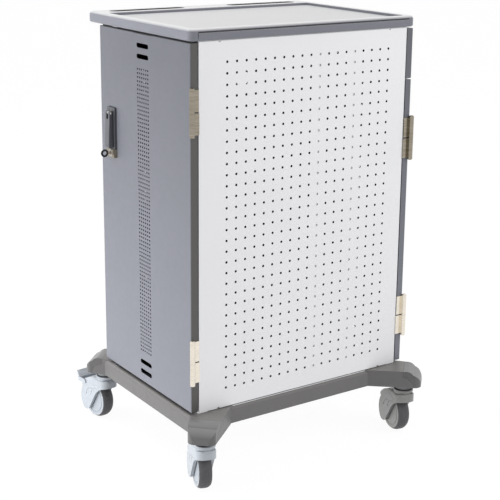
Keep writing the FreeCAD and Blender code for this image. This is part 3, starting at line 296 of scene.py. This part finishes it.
def painted(name, colour, rough, mottle=0.04, dust_and_top_light=0.0, skin=None, floor_reflection=0.0, vents=None, shaded_flank=None):
    """Powder coat, with dust, and with painted light and shade on it.

    dust is how much of the pale tone the coat takes: in dusty patches low on the cart, and four times as much
    on faces that look up, as painted top light.
    skin is an axis and a distance from the cart's middle: nearer than that, the sheet is painted dark as
    shade, on its inner side and the walls of its holes.
    settle is how much painted floor reflection pales the coat, most at the cart's foot and none at its top.
    vents is a half width and two depths: the walls of holes in that strip are painted dark as shade.
    flank is a distance to the right and a colour for the front door's hinge side beyond it: painted shade on
    that side, which faces away from the light.
    """
    material, nodes, shader, position = new_material(name)
    coat = nodes.place(powder_coat, {"Position": position, "Dark Tone": shade(colour, 1 - mottle),
                                     "Light Tone": shade(colour, 1 + mottle), "Roughness": rough})
    place = nodes.axes(position)
    tone = coat["Color"]
    # Dust in patches low on the cart, and painted top light on faces that look up
    if dust_and_top_light:
        upward = nodes.place(facing_up, {"Low": 0.3, "High": 1.0})["Mask"]
        tone = nodes.place(dust_and_lit_tops, {"Position": position, "Color": tone, "Upward": upward,
                                       "Amount": dust_and_top_light})["Color"]
    # Painted floor reflection: the coat paler towards the foot of the cart
    if floor_reflection:
        reflected = nodes.spread(place["Z"], reflection_foot, reflection_head, floor_reflection, 0.0)
        tone = nodes.mix(reflected, tone, shade(colour, 2.0))
    # Painted shade: inside the skin the sheet is dark, so hole walls and the inner side read dark
    if skin:
        axis, distance = skin
        tone = nodes.place(shaded_core, {"Color": tone, "Depth": place[axis], "Skin": distance})["Color"]
    # Painted shade on the walls of the holes in the vent strip
    if vents:
        half_width, shallow, deep = vents
        strip = nodes.math("LESS_THAN", nodes.math("ABSOLUTE", place["X"]), half_width)
        depth = nodes.math("ABSOLUTE", place["Y"])
        walls = nodes.both(nodes.math("GREATER_THAN", depth, shallow), nodes.math("LESS_THAN", depth, deep))
        tone = nodes.mix(nodes.both(strip, walls), tone, shade_dark)
    # Painted shade on the front door's right side, which faces away from the light
    if shaded_flank:
        distance, flank_shade_colour = shaded_flank
        right = nodes.math("GREATER_THAN", place["X"], distance)
        front = nodes.math("LESS_THAN", place["Y"], 0.0)
        tone = nodes.mix(nodes.both(right, front), tone, shade(flank_shade_colour))
    nodes.feed(shader.inputs["Base Color"], tone)
    nodes.feed(shader.inputs["Roughness"], coat["Roughness"])
    nodes.feed(shader.inputs["Normal"], nodes.bump(coat["Grain"], 0.35, 0.00012))
    return material


def moulded(name, colour, rough, grain_scale=900.0, grain=0.00010, streak=0.03, top_light=None, corner_shade=None,
            well=None):
    """Moulded plastic, with what sets one piece off from another.

    crown is a colour that takes over on faces that look up: painted top light.
    worn is a colour that takes over at the rear right corner of the cart: painted shade where the cart's
    shadow falls.
    well is low x, high x, half length along y and top of a hollow that is painted dark as shade.
    """
    material, nodes, shader, position = new_material(name)
    plastic = nodes.place(moulding, {"Position": position, "Dark Tone": shade(colour, 1 - streak),
                                     "Light Tone": shade(colour, 1 + streak), "Roughness": rough,
                                     "Grain Scale": grain_scale})
    tone = plastic["Color"]
    # Painted top light: faces that look up turn to the lighter colour
    if top_light:
        upward = nodes.place(facing_up, {"Low": 0.35, "High": 0.95})["Mask"]
        tone = nodes.mix(upward, tone, top_light)
    # Painted shade at the rear right corner, where the cart's shadow falls
    if corner_shade:
        tone = nodes.place(shaded_corner, {"Position": position, "Color": tone, "Shade Color": corner_shade})["Color"]
    # Painted shade inside the hollow
    if well:
        low_x, high_x, half_length, rim = well
        place = nodes.axes(position)
        inside = nodes.math("LESS_THAN", nodes.math("ABSOLUTE", place["Y"]), half_length)
        inside = nodes.both(inside, nodes.math("GREATER_THAN", place["X"], low_x))
        inside = nodes.both(inside, nodes.math("LESS_THAN", place["X"], high_x))
        inside = nodes.both(inside, nodes.math("LESS_THAN", place["Z"], rim))
        tone = nodes.mix(inside, tone, shade_dark)
    nodes.feed(shader.inputs["Base Color"], tone)
    nodes.feed(shader.inputs["Roughness"], plastic["Roughness"])
    nodes.feed(shader.inputs["Normal"], nodes.bump(plastic["Grain"], 0.3, grain))
    return material


def plated(name, colour, rough, line_scale=(30.0, 30.0, 900.0), tarnish=0.1, dark=(0.25, 0.22, 0.16),
           dark_reflection=0.0):
    """Plated or bare metal. age is how far the dark colour takes over in the upper half of the cart, as a
    painted dark reflection.
    """
    material, nodes, shader, position = new_material(name)
    metal = nodes.place(plating, {"Position": position, "Line Scale": line_scale,
                                  "Dark Tone": shade(colour, 0.93), "Light Tone": shade(colour, 1.05),
                                  "Tarnish And Reflection Color": shade(dark), "Tarnish": tarnish, "Age": dark_reflection,
                                  "Roughness": rough})
    nodes.feed(shader.inputs["Base Color"], metal["Color"])
    nodes.feed(shader.inputs["Roughness"], metal["Roughness"])
    nodes.feed(shader.inputs["Normal"], nodes.bump(metal["Lines"], 0.15, 0.00005))
    shader.inputs["Metallic"].default_value = 1.0
    return material


def tyre_rubber(name, colour, rough):
    """Scuffed rubber, dusty and fully matte."""
    material, nodes, shader, position = new_material(name)
    scuff = nodes.noise(position, 130.0, 6.0, 0.7)
    tone = nodes.mix(nodes.spread(scuff, 0.35, 0.7), shade(colour, 0.88), shade(colour, 1.18))
    nodes.feed(shader.inputs["Base Color"], tone)
    nodes.feed(shader.inputs["Roughness"], nodes.gloss(scuff, rough, 0.06, 0.06))
    nodes.feed(shader.inputs["Normal"], nodes.bump(scuff, 0.4, 0.00025))
    return material


def key_head_and_blade(name):
    """Black key head that turns to bright metal along its blade."""
    material, nodes, shader, position = new_material(name)
    head_end = -0.3295
    blade_start = -0.3290
    blade = nodes.spread(nodes.axes(position)["Y"], head_end, blade_start)
    grain = nodes.noise(position, 700.0, 2.0)
    black = nodes.mix(grain, (0.010, 0.010, 0.011, 1.0), (0.022, 0.022, 0.024, 1.0))
    steel = nodes.mix(grain, (0.52, 0.44, 0.40, 1.0), (0.66, 0.57, 0.53, 1.0))
    nodes.feed(shader.inputs["Base Color"], nodes.mix(blade, black, steel))
    nodes.feed(shader.inputs["Metallic"], blade)
    nodes.feed(shader.inputs["Roughness"], nodes.even(grain, 0.28, 0.38))
    nodes.feed(shader.inputs["Normal"], nodes.bump(grain, 0.2, 0.00005))
    return material


finishes = {
    # Dust low down, and painted top light on faces that look up
    "base_grey": painted("base_powder_coat", (0.138, 0.134, 0.136), 0.42, dust_and_top_light=0.06),
    # Painted top light on the cap's upper faces
    "cap_grey": moulded("leg_cap_plastic", (0.118, 0.116, 0.118), 0.30, top_light=(0.215, 0.212, 0.212, 1.0)),
    "collar_grey": moulded("collar_plastic", (0.200, 0.205, 0.215), 0.40),
    "inner_white": painted("inner_powder_coat", (0.72, 0.73, 0.74), 0.5),
    # Painted shade inside the panel's skin, on hole walls and the inner side
    "panel_white": painted("panel_powder_coat", (0.85, 0.85, 0.87), 0.42, mottle=0.012, skin=("X", 0.2098)),
    # Door: painted floor reflection towards the foot, painted shade on the right side, in the vent walls and
    # inside the skin
    "door_grey": painted("door_powder_coat", (0.119, 0.123, 0.144), 0.34, mottle=0.03, dust_and_top_light=0.03,
                         skin=("Y", 0.2961), floor_reflection=0.58, vents=(0.04, 0.3127, 0.3137),
                         shaded_flank=(0.2095, (0.088, 0.086, 0.082))),
    # Painted dark reflection on the upper hinges
    "hinge_nickel": plated("hinge_nickel_plate", (0.82, 0.76, 0.66), 0.16, dark=(0.19, 0.165, 0.12),
                           dark_reflection=0.95),
    "handle_plastic": moulded("handle_dish_plastic", (0.068, 0.070, 0.080), 0.34),
    "lock_nickel": plated("lock_nickel_plate", (0.34, 0.31, 0.24), 0.28, line_scale=(600.0, 30.0, 30.0)),
    "bright_steel": plated("bright_plate", (0.50, 0.49, 0.47), 0.18, tarnish=0.03),
    "lever_grey": moulded("lever_satin_casting", (0.085, 0.088, 0.100), 0.30),
    "zinc_steel": plated("zinc_plate", (0.58, 0.59, 0.61), 0.36),
    "key_black": key_head_and_blade("key_head_and_blade"),
    # Painted top light on faces that look up, and painted shade inside the hollow
    "top_grey": moulded("top_frame_plastic", (0.186, 0.191, 0.222), 0.32, grain_scale=700.0,
                        top_light=(0.76, 0.76, 0.77, 1.0), well=(-0.2485, -0.2135, 0.2765, 1.0687)),
    "work_white": moulded("work_surface_plastic", (0.66, 0.66, 0.67), 0.42, grain_scale=1100.0, grain=0.00012,
                          streak=0.012),
    "rack_plastic": moulded("rack_moulding", (0.055, 0.055, 0.060), 0.5),
    "power_black": moulded("power_moulding", (0.020, 0.020, 0.022), 0.42),
    # Painted shade on the rear right caster's hood and hub
    "caster_plastic": moulded("caster_hood_plastic", (0.42, 0.45, 0.49), 0.33, corner_shade=shaded_plastic),
    "hub_plastic": moulded("wheel_hub_plastic", (0.38, 0.41, 0.45), 0.36, corner_shade=shaded_plastic),
    "tyre_grey": tyre_rubber("tyre_rubber", (0.075, 0.075, 0.080), 0.55),
    "pedal_plastic": moulded("pedal_plastic", (0.42, 0.45, 0.49), 0.34),
}

for part in frame["record"]["subparts"]:
    node = frame["nodes"][part["node"]]
    node.data.materials.clear()
    node.data.materials.append(finishes[part["material_slot"]])


# Mesh building: sizes are millimetres, and each piece's place is in its mesh
millimetre = 0.001
sharp_angle = 35.0
merge_distance = 1e-6
fine_bevel = 0.3
ends = (("front", -1), ("rear", 1))
joints = {joint["name"]: joint for joint in frame["record"]["behaviour"]["joints"]}


def point(x, y, z):
    return Vector((x, y, z)) * millimetre


def node_box(name):
    """Low and high corner of a CAD node, in millimetres."""
    corners = [Vector(corner) / millimetre for corner in frame["nodes"][name].bound_box]
    low = Vector([min(corner[axis] for corner in corners) for axis in range(3)])
    high = Vector([max(corner[axis] for corner in corners) for axis in range(3)])
    return low, high


def end_face(name, side):
    """Place along Y of a CAD node's front face (side -1) or rear face (side 1), in millimetres."""
    low, high = node_box(name)
    return low.y if side < 0 else high.y


def joint_place(name):
    """Point that a joint turns about, in millimetres."""
    return Vector(joints[name]["pos_m"]) / millimetre


def finish_piece(shape, name, body, slot):
    """Turns a bmesh into a named piece that rides on a body."""
    bmesh.ops.recalc_face_normals(shape, faces=shape.faces)
    mesh = bpy.data.meshes.new(name)
    shape.to_mesh(mesh)
    shape.free()
    for face in mesh.polygons:
        face.use_smooth = True
    mesh.set_sharp_from_angle(angle=math.radians(sharp_angle))
    mesh.materials.append(finishes[slot])
    piece = bpy.data.objects.new(name, mesh)
    bpy.context.scene.collection.objects.link(piece)
    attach(piece, body)


def lathe(shape, profile, centre, axis, segments=32):
    """Revolves (radius, height) pairs about an axis through a centre."""
    axis = Vector(axis).normalized()
    side = axis.orthogonal().normalized()
    outline = [shape.verts.new(centre + (side * radius + axis * height) * millimetre)
               for radius, height in profile]
    edges = [shape.edges.new(pair) for pair in zip(outline, outline[1:])]
    bmesh.ops.spin(shape, geom=outline + edges, cent=centre, axis=axis, angle=math.tau, steps=segments,
                   use_merge=True, use_duplicate=False)
    bmesh.ops.remove_doubles(shape, verts=shape.verts, dist=merge_distance)


def block(shape, low, high, bevel):
    """Box between two corners with rounded edges."""
    corners = bmesh.ops.create_cube(shape, size=1.0)["verts"]
    bmesh.ops.scale(shape, vec=high - low, verts=corners)
    bmesh.ops.translate(shape, vec=(low + high) / 2, verts=corners)
    edges = list({edge for corner in corners for edge in corner.link_edges})
    bmesh.ops.bevel(shape, geom=edges, offset=bevel * millimetre, offset_type="OFFSET", affect="EDGES",
                    segments=2, profile=0.5, material=-1, clamp_overlap=True)


def screw_head(shape, centre, axis, radius):
    """Pan head with a round recess, standing on a face at the centre."""
    rise = radius * 0.55
    profile = [(radius, 0.0), (radius, rise * 0.35), (radius * 0.8, rise * 0.85), (radius * 0.42, rise),
               (radius * 0.30, rise * 0.45), (0.0, rise * 0.35)]
    lathe(shape, profile, centre, axis, segments=20)


# Hinges: domed barrel ends
hinge_levels = {"front": (889.0, 313.0), "rear": (771.0, 312.0)}
hinge_height = 106.0
barrel_radius = 6.0
barrel_dome = [(barrel_radius - 0.4, 0.0), (barrel_radius - 0.5, 0.8), (4.0, 2.2), (0.0, 2.8)]


def dress_hinges():
    fixed = bmesh.new()
    for end, levels in hinge_levels.items():
        pin = joint_place(end + "_door_swing")
        moving = bmesh.new()
        for level in levels:
            lathe(moving, barrel_dome, point(pin.x, pin.y, level + hinge_height / 2), (0, 0, 1))
            lathe(fixed, barrel_dome, point(pin.x, pin.y, level - hinge_height / 2), (0, 0, -1))
        finish_piece(moving, end + "_hinge_trim", end + "_door", "hinge_nickel")
    finish_piece(fixed, "fixed_hinge_trim", "cart", "hinge_nickel")


# Handles: lock rings, lever pivot buttons and grip ribs
lock_ring = [(5.9, 0.0), (5.9, 0.5), (6.6, 0.9), (8.6, 0.7), (9.4, 0.0)]
pivot_button = [(3.4, 0.0), (3.4, 0.4), (2.4, 1.0), (0.0, 1.2)]
grip_rib_count = 3
grip_rib_start = 2.5
grip_rib_pitch = 2.4
grip_rib_height = 1.2
grip_rib_half_length = 8.5
grip_rib_half_depth = 0.5
grip_rib_sunk = 0.2


def dress_handles():
    for end, side in ends:
        lock = joint_place(end + "_lock_turn")
        ring = bmesh.new()
        lathe(ring, lock_ring, point(lock.x, end_face(end + "_lock_block", side), lock.z), (0, side, 0),
              segments=40)
        finish_piece(ring, end + "_lock_ring", end + "_door", "bright_steel")

        pivot = joint_place(end + "_lever_lift")
        low, high = node_box(end + "_lever")
        buttons = bmesh.new()
        for x, away in ((low.x, -1), (high.x, 1)):
            lathe(buttons, pivot_button, point(x, pivot.y, pivot.z), (away, 0, 0), segments=24)
        finish_piece(buttons, end + "_lever_buttons", end + "_grip_lever", "bright_steel")

        ribs = bmesh.new()
        middle_x = (low.x + high.x) / 2
        middle_y = end_face(end + "_lever", side) - side * grip_rib_sunk
        half_size = point(grip_rib_half_length, grip_rib_half_depth, grip_rib_height / 2)
        for order in range(grip_rib_count):
            level = low.z + grip_rib_start + order * grip_rib_pitch + grip_rib_height / 2
            middle = point(middle_x, middle_y, level)
            block(ribs, middle - half_size, middle + half_size, fine_bevel)
        finish_piece(ribs, end + "_lever_ribs", end + "_grip_lever", "lever_grey")


# Casters: dust seals on the collars and ribs across the brake pedals, drawn trailing along +X
casters = ("front_left", "front_right", "rear_left", "rear_right")
braked_casters = ("front_left", "rear_left")
collar_low = 126.0
collar_radius = 20.5
dust_seal = [(collar_radius - 0.5, -0.2), (collar_radius + 1.8, -0.2), (collar_radius + 2.2, 0.5),
             (collar_radius + 1.6, 1.6), (collar_radius - 0.5, 2.0), (collar_radius - 0.5, -0.2)]
pedal_middle = 99.1
pedal_half_length = 16.0
pedal_level = 101.5
pedal_rise = 6.0
pedal_rib_count = 4
pedal_rib_first = 100.0
pedal_rib_pitch = 3.6
pedal_rib_width = 1.6
pedal_rib_half_length = 14.0
pedal_rib_sunk = 0.6
pedal_rib_proud = 0.5


def caster_place(name):
    """Turn and shift that carry a caster's own coordinates to its corner."""
    swivel = joint_place(name + "_swivel")
    axle = joints[name + "_wheel_spin"]["axis"]
    heading = math.atan2(-axle[0], axle[1])
    return Matrix.Translation(point(swivel.x, swivel.y, 0)) @ Matrix.Rotation(heading, 4, "Z")


def pedal_top(x):
    """Height of the pedal's bowed upper side."""
    along = (x - pedal_middle) / pedal_half_length
    return pedal_level + pedal_rise / 2 * (along + 1 - along ** 2)


def dress_casters():
    seals = bmesh.new()
    for name in casters:
        lathe(seals, dust_seal, caster_place(name) @ point(0, 0, collar_low), (0, 0, 1), segments=48)
    finish_piece(seals, "collar_seals", "cart", "power_black")

    for name in braked_casters:
        ribs = bmesh.new()
        for order in range(pedal_rib_count):
            x = pedal_rib_first + pedal_rib_pitch * order
            top = pedal_top(x)
            block(ribs, point(x, -pedal_rib_half_length, top - pedal_rib_sunk),
                  point(x + pedal_rib_width, pedal_rib_half_length, top + pedal_rib_proud), fine_bevel)
        bmesh.ops.transform(ribs, matrix=caster_place(name), verts=ribs.verts)
        finish_piece(ribs, "pedal_ribs_" + name, "brake_" + name, "pedal_plastic")


# Top: rolled strip with a groove along the right edge of the frame, the groove painted black as shade, and a
# black strip above the front door, painted shade in the gap there
strip_inset = 20.0
strip_section = ((2.5, -0.5), (3.5, 0.3), (8.0, 1.0), (12.0, 2.0), (15.0, 2.0), (17.2, 1.2), (17.6, -0.5))
# The groove is real; its black is painted shade
groove_shade_section = ((17.4, -0.5), (17.4, 0.7), (20.4, 0.2), (20.4, -1.5))
# Strip above the front door: painted shade in the gap between the door and the top
gap_shade_inset = 4.0
gap_shade_break = (-152.0, -124.0)
gap_shade_depth = 11.0
gap_shade_height = 3.6
gap_shade_clearance = 0.6


def edge_strip(name, section, slot):
    """Section of (rise, proud) pairs drawn along the right edge of the top frame."""
    low, high = node_box("top_frame")
    start = low.y + strip_inset
    stop = high.y - strip_inset
    shape = bmesh.new()
    end = shape.faces.new([shape.verts.new(point(high.x + proud, start, low.z + rise))
                           for rise, proud in section])
    drawn = bmesh.ops.extrude_face_region(shape, geom=[end])["geom"]
    moved = [part for part in drawn if isinstance(part, bmesh.types.BMVert)]
    bmesh.ops.translate(shape, vec=point(0, stop - start, 0), verts=moved)
    finish_piece(shape, name, "cart", slot)


def dress_top():
    edge_strip("top_edge_strip", strip_section, "top_grey")
    # Painted shade: a black strip in the groove
    edge_strip("top_edge_groove_shade", groove_shade_section, "power_black")

    # Painted shade: a black strip in the gap above the front door
    low, high = node_box("front_door")
    level = high.z + gap_shade_clearance
    gap_shade = bmesh.new()
    spans = ((low.x + gap_shade_inset, gap_shade_break[0]), (gap_shade_break[1], high.x - gap_shade_inset))
    for start, stop in spans:
        block(gap_shade, point(start, high.y - gap_shade_depth, level),
              point(stop, high.y, level + gap_shade_height), fine_bevel)
    finish_piece(gap_shade, "front_door_gap_shade", "cart", "power_black")


# Inside: cable grommets in the partition, one slot in each column of each tier
tiers = 3
cable_slot_pitch = 120.0
cable_slot_length = 60.0
cable_slot_height = 24.0
grommet_turn = math.radians(9.0)
grommet_steps = 19
grommet_section = ((-1.6, -2.35), (2.6, -2.35), (3.2, -1.55), (3.2, -0.75), (0.0, -0.75), (0.0, 0.75),
                   (3.2, 0.75), (3.2, 1.55), (2.6, 2.35), (-1.6, 2.35), (-2.2, 1.25), (-2.2, -1.25))


def grommet(shape, middle):
    """Rubber edging round one cable slot: turned about each end, and bridged along the sides.

    Each end turns one step short of a half turn, and the side takes up that step.
    """
    reach = (cable_slot_length - cable_slot_height) / 2
    radius = cable_slot_height / 2
    axis = Vector((0, -1, 0))
    starts = []
    stops = []
    for side in (1, -1):
        centre = middle + point(side * reach, 0, 0)
        outline = [shape.verts.new(centre + point(0, depth, -side * (radius + grow)))
                   for grow, depth in grommet_section]
        edges = [shape.edges.new(pair) for pair in zip(outline, outline[1:] + outline[:1])]
        bmesh.ops.rotate(shape, verts=outline, cent=centre, matrix=Matrix.Rotation(grommet_turn, 3, axis))
        turned = bmesh.ops.spin(shape, geom=outline + edges, cent=centre, axis=axis,
                                angle=grommet_turn * grommet_steps, steps=grommet_steps)
        starts.append(edges)
        stops.append([part for part in turned["geom_last"] if isinstance(part, bmesh.types.BMEdge)])
    bmesh.ops.bridge_loops(shape, edges=stops[0] + starts[1])
    bmesh.ops.bridge_loops(shape, edges=stops[1] + starts[0])


def dress_partition():
    low, high = node_box("rear_partition")
    tier_height = (high.z - low.z) / tiers
    grommets = bmesh.new()
    for tier in range(tiers):
        level = low.z + (tier + 0.5) * tier_height
        for column in (-1, 0, 1):
            grommet(grommets, point(cable_slot_pitch * column, (low.y + high.y) / 2, level))
    finish_piece(grommets, "cable_grommets", "cart", "power_black")


# Inside: outlets on the two strips
outlet_count = 9
outlet_inset = 24.0
outlet_recess = 9.0
outlet_cup = [(18.6, 0.0), (18.6, 6.5), (17.6, 7.0), (17.0, 2.2), (16.4, 1.6), (0.0, 1.6)]
aperture_places = ((-6.0, 3.0), (6.0, 3.0), (0.0, -7.0))
aperture_half_width = 1.2
aperture_half_height = 3.4
aperture_low = 1.5
aperture_high = 2.0
aperture_bevel = 0.15


def dress_outlets():
    low, high = node_box("power_strips")
    pitch = (high.z - low.z) / outlet_count
    faces = bmesh.new()
    apertures = bmesh.new()
    for x in (low.x + outlet_inset, high.x - outlet_inset):
        for number in range(outlet_count):
            centre = point(x, high.y - outlet_recess, low.z + (number + 0.5) * pitch)
            lathe(faces, outlet_cup, centre, (0, 1, 0), segments=40)
            for across, above in aperture_places:
                near = point(across - aperture_half_width, aperture_low, above - aperture_half_height)
                far = point(across + aperture_half_width, aperture_high, above + aperture_half_height)
                block(apertures, centre + near, centre + far, aperture_bevel)
    finish_piece(faces, "outlet_faces", "cart", "rack_plastic")
    finish_piece(apertures, "outlet_apertures", "cart", "power_black")


# Inside: face of the charge controller, with louvres, two buttons and three lamps
panel_side_margin = 11.0
panel_end_margin = 14.0
panel_sunk = 0.1
panel_proud = 1.7
panel_bevel = 0.6
louvre_count = 7
louvre_side_margin = 19.0
louvre_start = 20.0
louvre_pitch = 5.5
louvre_height = 2.4
louvre_back = 1.3
louvre_front = 2.9
louvre_bevel = 0.5
control_rise = 86.0
control_seat = 1.5
button_places = (-30.0, -10.0)
button_profile = [(6.5, 0.0), (6.5, 2.2), (5.8, 2.9), (0.0, 3.2)]
lamp_places = (16.0, 28.0, 40.0)
lamp_profile = [(2.6, 0.0), (2.6, 0.8), (1.8, 2.2), (0.0, 2.7)]


def dress_controller():
    low, high = node_box("charge_controller")
    panel = bmesh.new()
    block(panel, point(low.x + panel_side_margin, high.y - panel_sunk, low.z + panel_end_margin),
          point(high.x - panel_side_margin, high.y + panel_proud, high.z - panel_end_margin), panel_bevel)
    for order in range(louvre_count):
        level = low.z + louvre_start + order * louvre_pitch
        block(panel, point(low.x + louvre_side_margin, high.y + louvre_back, level),
              point(high.x - louvre_side_margin, high.y + louvre_front, level + louvre_height), louvre_bevel)
    seat = high.y + control_seat
    control_level = low.z + control_rise
    for x in button_places:
        lathe(panel, button_profile, point(x, seat, control_level), (0, 1, 0))
    finish_piece(panel, "controller_panel", "cart", "rack_plastic")

    lamps = bmesh.new()
    for x in lamp_places:
        lathe(lamps, lamp_profile, point(x, seat, control_level), (0, 1, 0), segments=20)
    finish_piece(lamps, "controller_lamps", "cart", "hub_plastic")


# Shell: rubber bumpers behind the doors, pale uprights behind the pegboard and screws on the rear panel
bumper_inset = 14.5
bumper_levels = {"front": (262.0, 962.0), "rear": (262.0, 846.0)}
bumper_profile = [(5.0, 0.0), (5.0, 0.8), (4.2, 1.9), (2.4, 2.4), (0.0, 2.5)]
upright_places = (34.4, 136.0)
upright_half_width = 8.0
upright_half_depth = 1.0
upright_standoff = 1.2
upright_margin = 5.0
screw_inset = 14.0
screw_radius = 3.6


def dress_shell():
    bumper_x = node_box("corner_posts")[0].x + bumper_inset
    bumpers = bmesh.new()
    for end, side in ends:
        for level in bumper_levels[end]:
            seat = point(bumper_x, end_face("corner_posts", side), level)
            lathe(bumpers, bumper_profile, seat, (0, side, 0), segments=28)
    finish_piece(bumpers, "door_bumpers", "cart", "power_black")

    left_inner = node_box("left_side_panel")[1].x
    low, high = node_box("right_side_panel")
    half_size = point(upright_half_depth, upright_half_width, (high.z - low.z) / 2 - upright_margin)
    uprights = bmesh.new()
    for x in (left_inner + upright_standoff, low.x - upright_standoff):
        for y in upright_places:
            middle = point(x, y, (low.z + high.z) / 2)
            block(uprights, middle - half_size, middle + half_size, fine_bevel)
    finish_piece(uprights, "panel_uprights", "cart", "inner_white")

    low, high = node_box("rear_upper_panel")
    screws = bmesh.new()
    for x in (low.x + screw_inset, high.x - screw_inset):
        for level in (low.z + screw_inset, high.z - screw_inset):
            screw_head(screws, point(x, high.y, level), (0, 1, 0), screw_radius)
    finish_piece(screws, "rear_panel_screws", "cart", "zinc_steel")


dress_hinges()
dress_handles()
dress_casters()
dress_top()
dress_partition()
dress_outlets()
dress_controller()
dress_shell()


# Studio, in metres and watts
white = (1.0, 1.0, 1.0, 1.0)
floor_half_size = 30.0
floor_dark = (0.78, 0.78, 0.78, 1.0)
floor_light = (0.82, 0.82, 0.82, 1.0)
floor_roughness = 0.9
floor_glow = 1.06
floor_glow_share = 0.88
world_light = 0.58
world_seen = 1.0


def make_floor():
    """Pale floor that glows white where it is seen, and still takes a soft shadow."""
    mesh = bpy.data.meshes.new("studio_floor")
    shape = bmesh.new()
    bmesh.ops.create_grid(shape, x_segments=1, y_segments=1, size=floor_half_size)
    shape.to_mesh(mesh)
    shape.free()
    floor = bpy.data.objects.new("studio_floor", mesh)
    bpy.context.scene.collection.objects.link(floor)
    material, nodes, shader, position = new_material("studio_floor_white")
    nodes.feed(shader.inputs["Roughness"], floor_roughness)
    nodes.feed(shader.inputs["Base Color"], nodes.mix(nodes.noise(position, 3.0), floor_dark, floor_light))
    glow = nodes.add("ShaderNodeEmission", {"Color": white, "Strength": floor_glow})
    glowing = nodes.math("MULTIPLY", nodes.background_seen(), floor_glow_share)
    mixer = nodes.add("ShaderNodeMixShader", {"Fac": glowing})
    nodes.feed(mixer.inputs[1], shader.outputs[0])
    nodes.feed(mixer.inputs[2], glow.outputs[0])
    nodes.feed(material.node_tree.nodes["Material Output"].inputs["Surface"], mixer.outputs[0])
    mesh.materials.append(material)


def make_world():
    """White all round, dimmer as a light than it is when seen."""
    world = bpy.data.worlds.new("studio")
    bpy.context.scene.world = world
    world.use_nodes = True
    nodes = Nodes(world.node_tree)
    background = world.node_tree.nodes["Background"]
    nodes.feed(background.inputs["Color"], white)
    strength = nodes.spread(nodes.background_seen(), 0.0, 1.0, world_light, world_seen)
    nodes.feed(background.inputs["Strength"], strength)


def add_light(name, place, target, size, power):
    """Soft box that mirrors don't show."""
    lamp = bpy.data.lights.new(name, "AREA")
    lamp.shape = "RECTANGLE"
    lamp.size = size[0]
    lamp.size_y = size[1]
    lamp.energy = power
    holder = bpy.data.objects.new(name, lamp)
    bpy.context.scene.collection.objects.link(holder)
    holder.location = place
    holder.rotation_euler = (Vector(target) - Vector(place)).to_track_quat("-Z", "Y").to_euler()
    holder.visible_glossy = False


def make_camera():
    turn = math.radians(azimuth)
    tilt = math.radians(elevation)
    lean = math.radians(roll)
    back = Vector((math.sin(turn) * math.cos(tilt), -math.cos(turn) * math.cos(tilt), math.sin(tilt)))
    level = Vector((math.cos(turn), math.sin(turn), 0.0))
    upright = back.cross(level)
    right = level * math.cos(lean) + upright * math.sin(lean)
    up = upright * math.cos(lean) - level * math.sin(lean)
    lens = bpy.data.cameras.new("photo_camera")
    lens.sensor_fit = "HORIZONTAL"
    lens.sensor_width = sensor
    lens.lens = focal_pixels * sensor / image_pixels
    lens.shift_y = shift_up
    lens.clip_end = far_clip
    camera = bpy.data.objects.new("photo_camera", lens)
    bpy.context.scene.collection.objects.link(camera)
    axes = Matrix((right, up, back)).transposed().to_4x4()
    camera.matrix_world = Matrix.Translation(Vector(eye)) @ axes
    bpy.context.scene.camera = camera


make_floor()
make_world()
add_light("key_front_left", place=(-0.8, -2.3, 0.25), target=(0.0, 0.0, 0.2), size=(1.6, 0.5), power=46.0)
add_light("top_front", place=(-1.4, -2.0, 3.0), target=(0.0, 0.0, 0.8), size=(2.2, 2.2), power=44.0)
add_light("fill_right", place=(3.0, 2.2, 2.6), target=(0.0, 0.0, 0.7), size=(2.2, 2.2), power=64.0)
make_camera()
bpy.context.scene.view_settings.view_transform = "Standard"
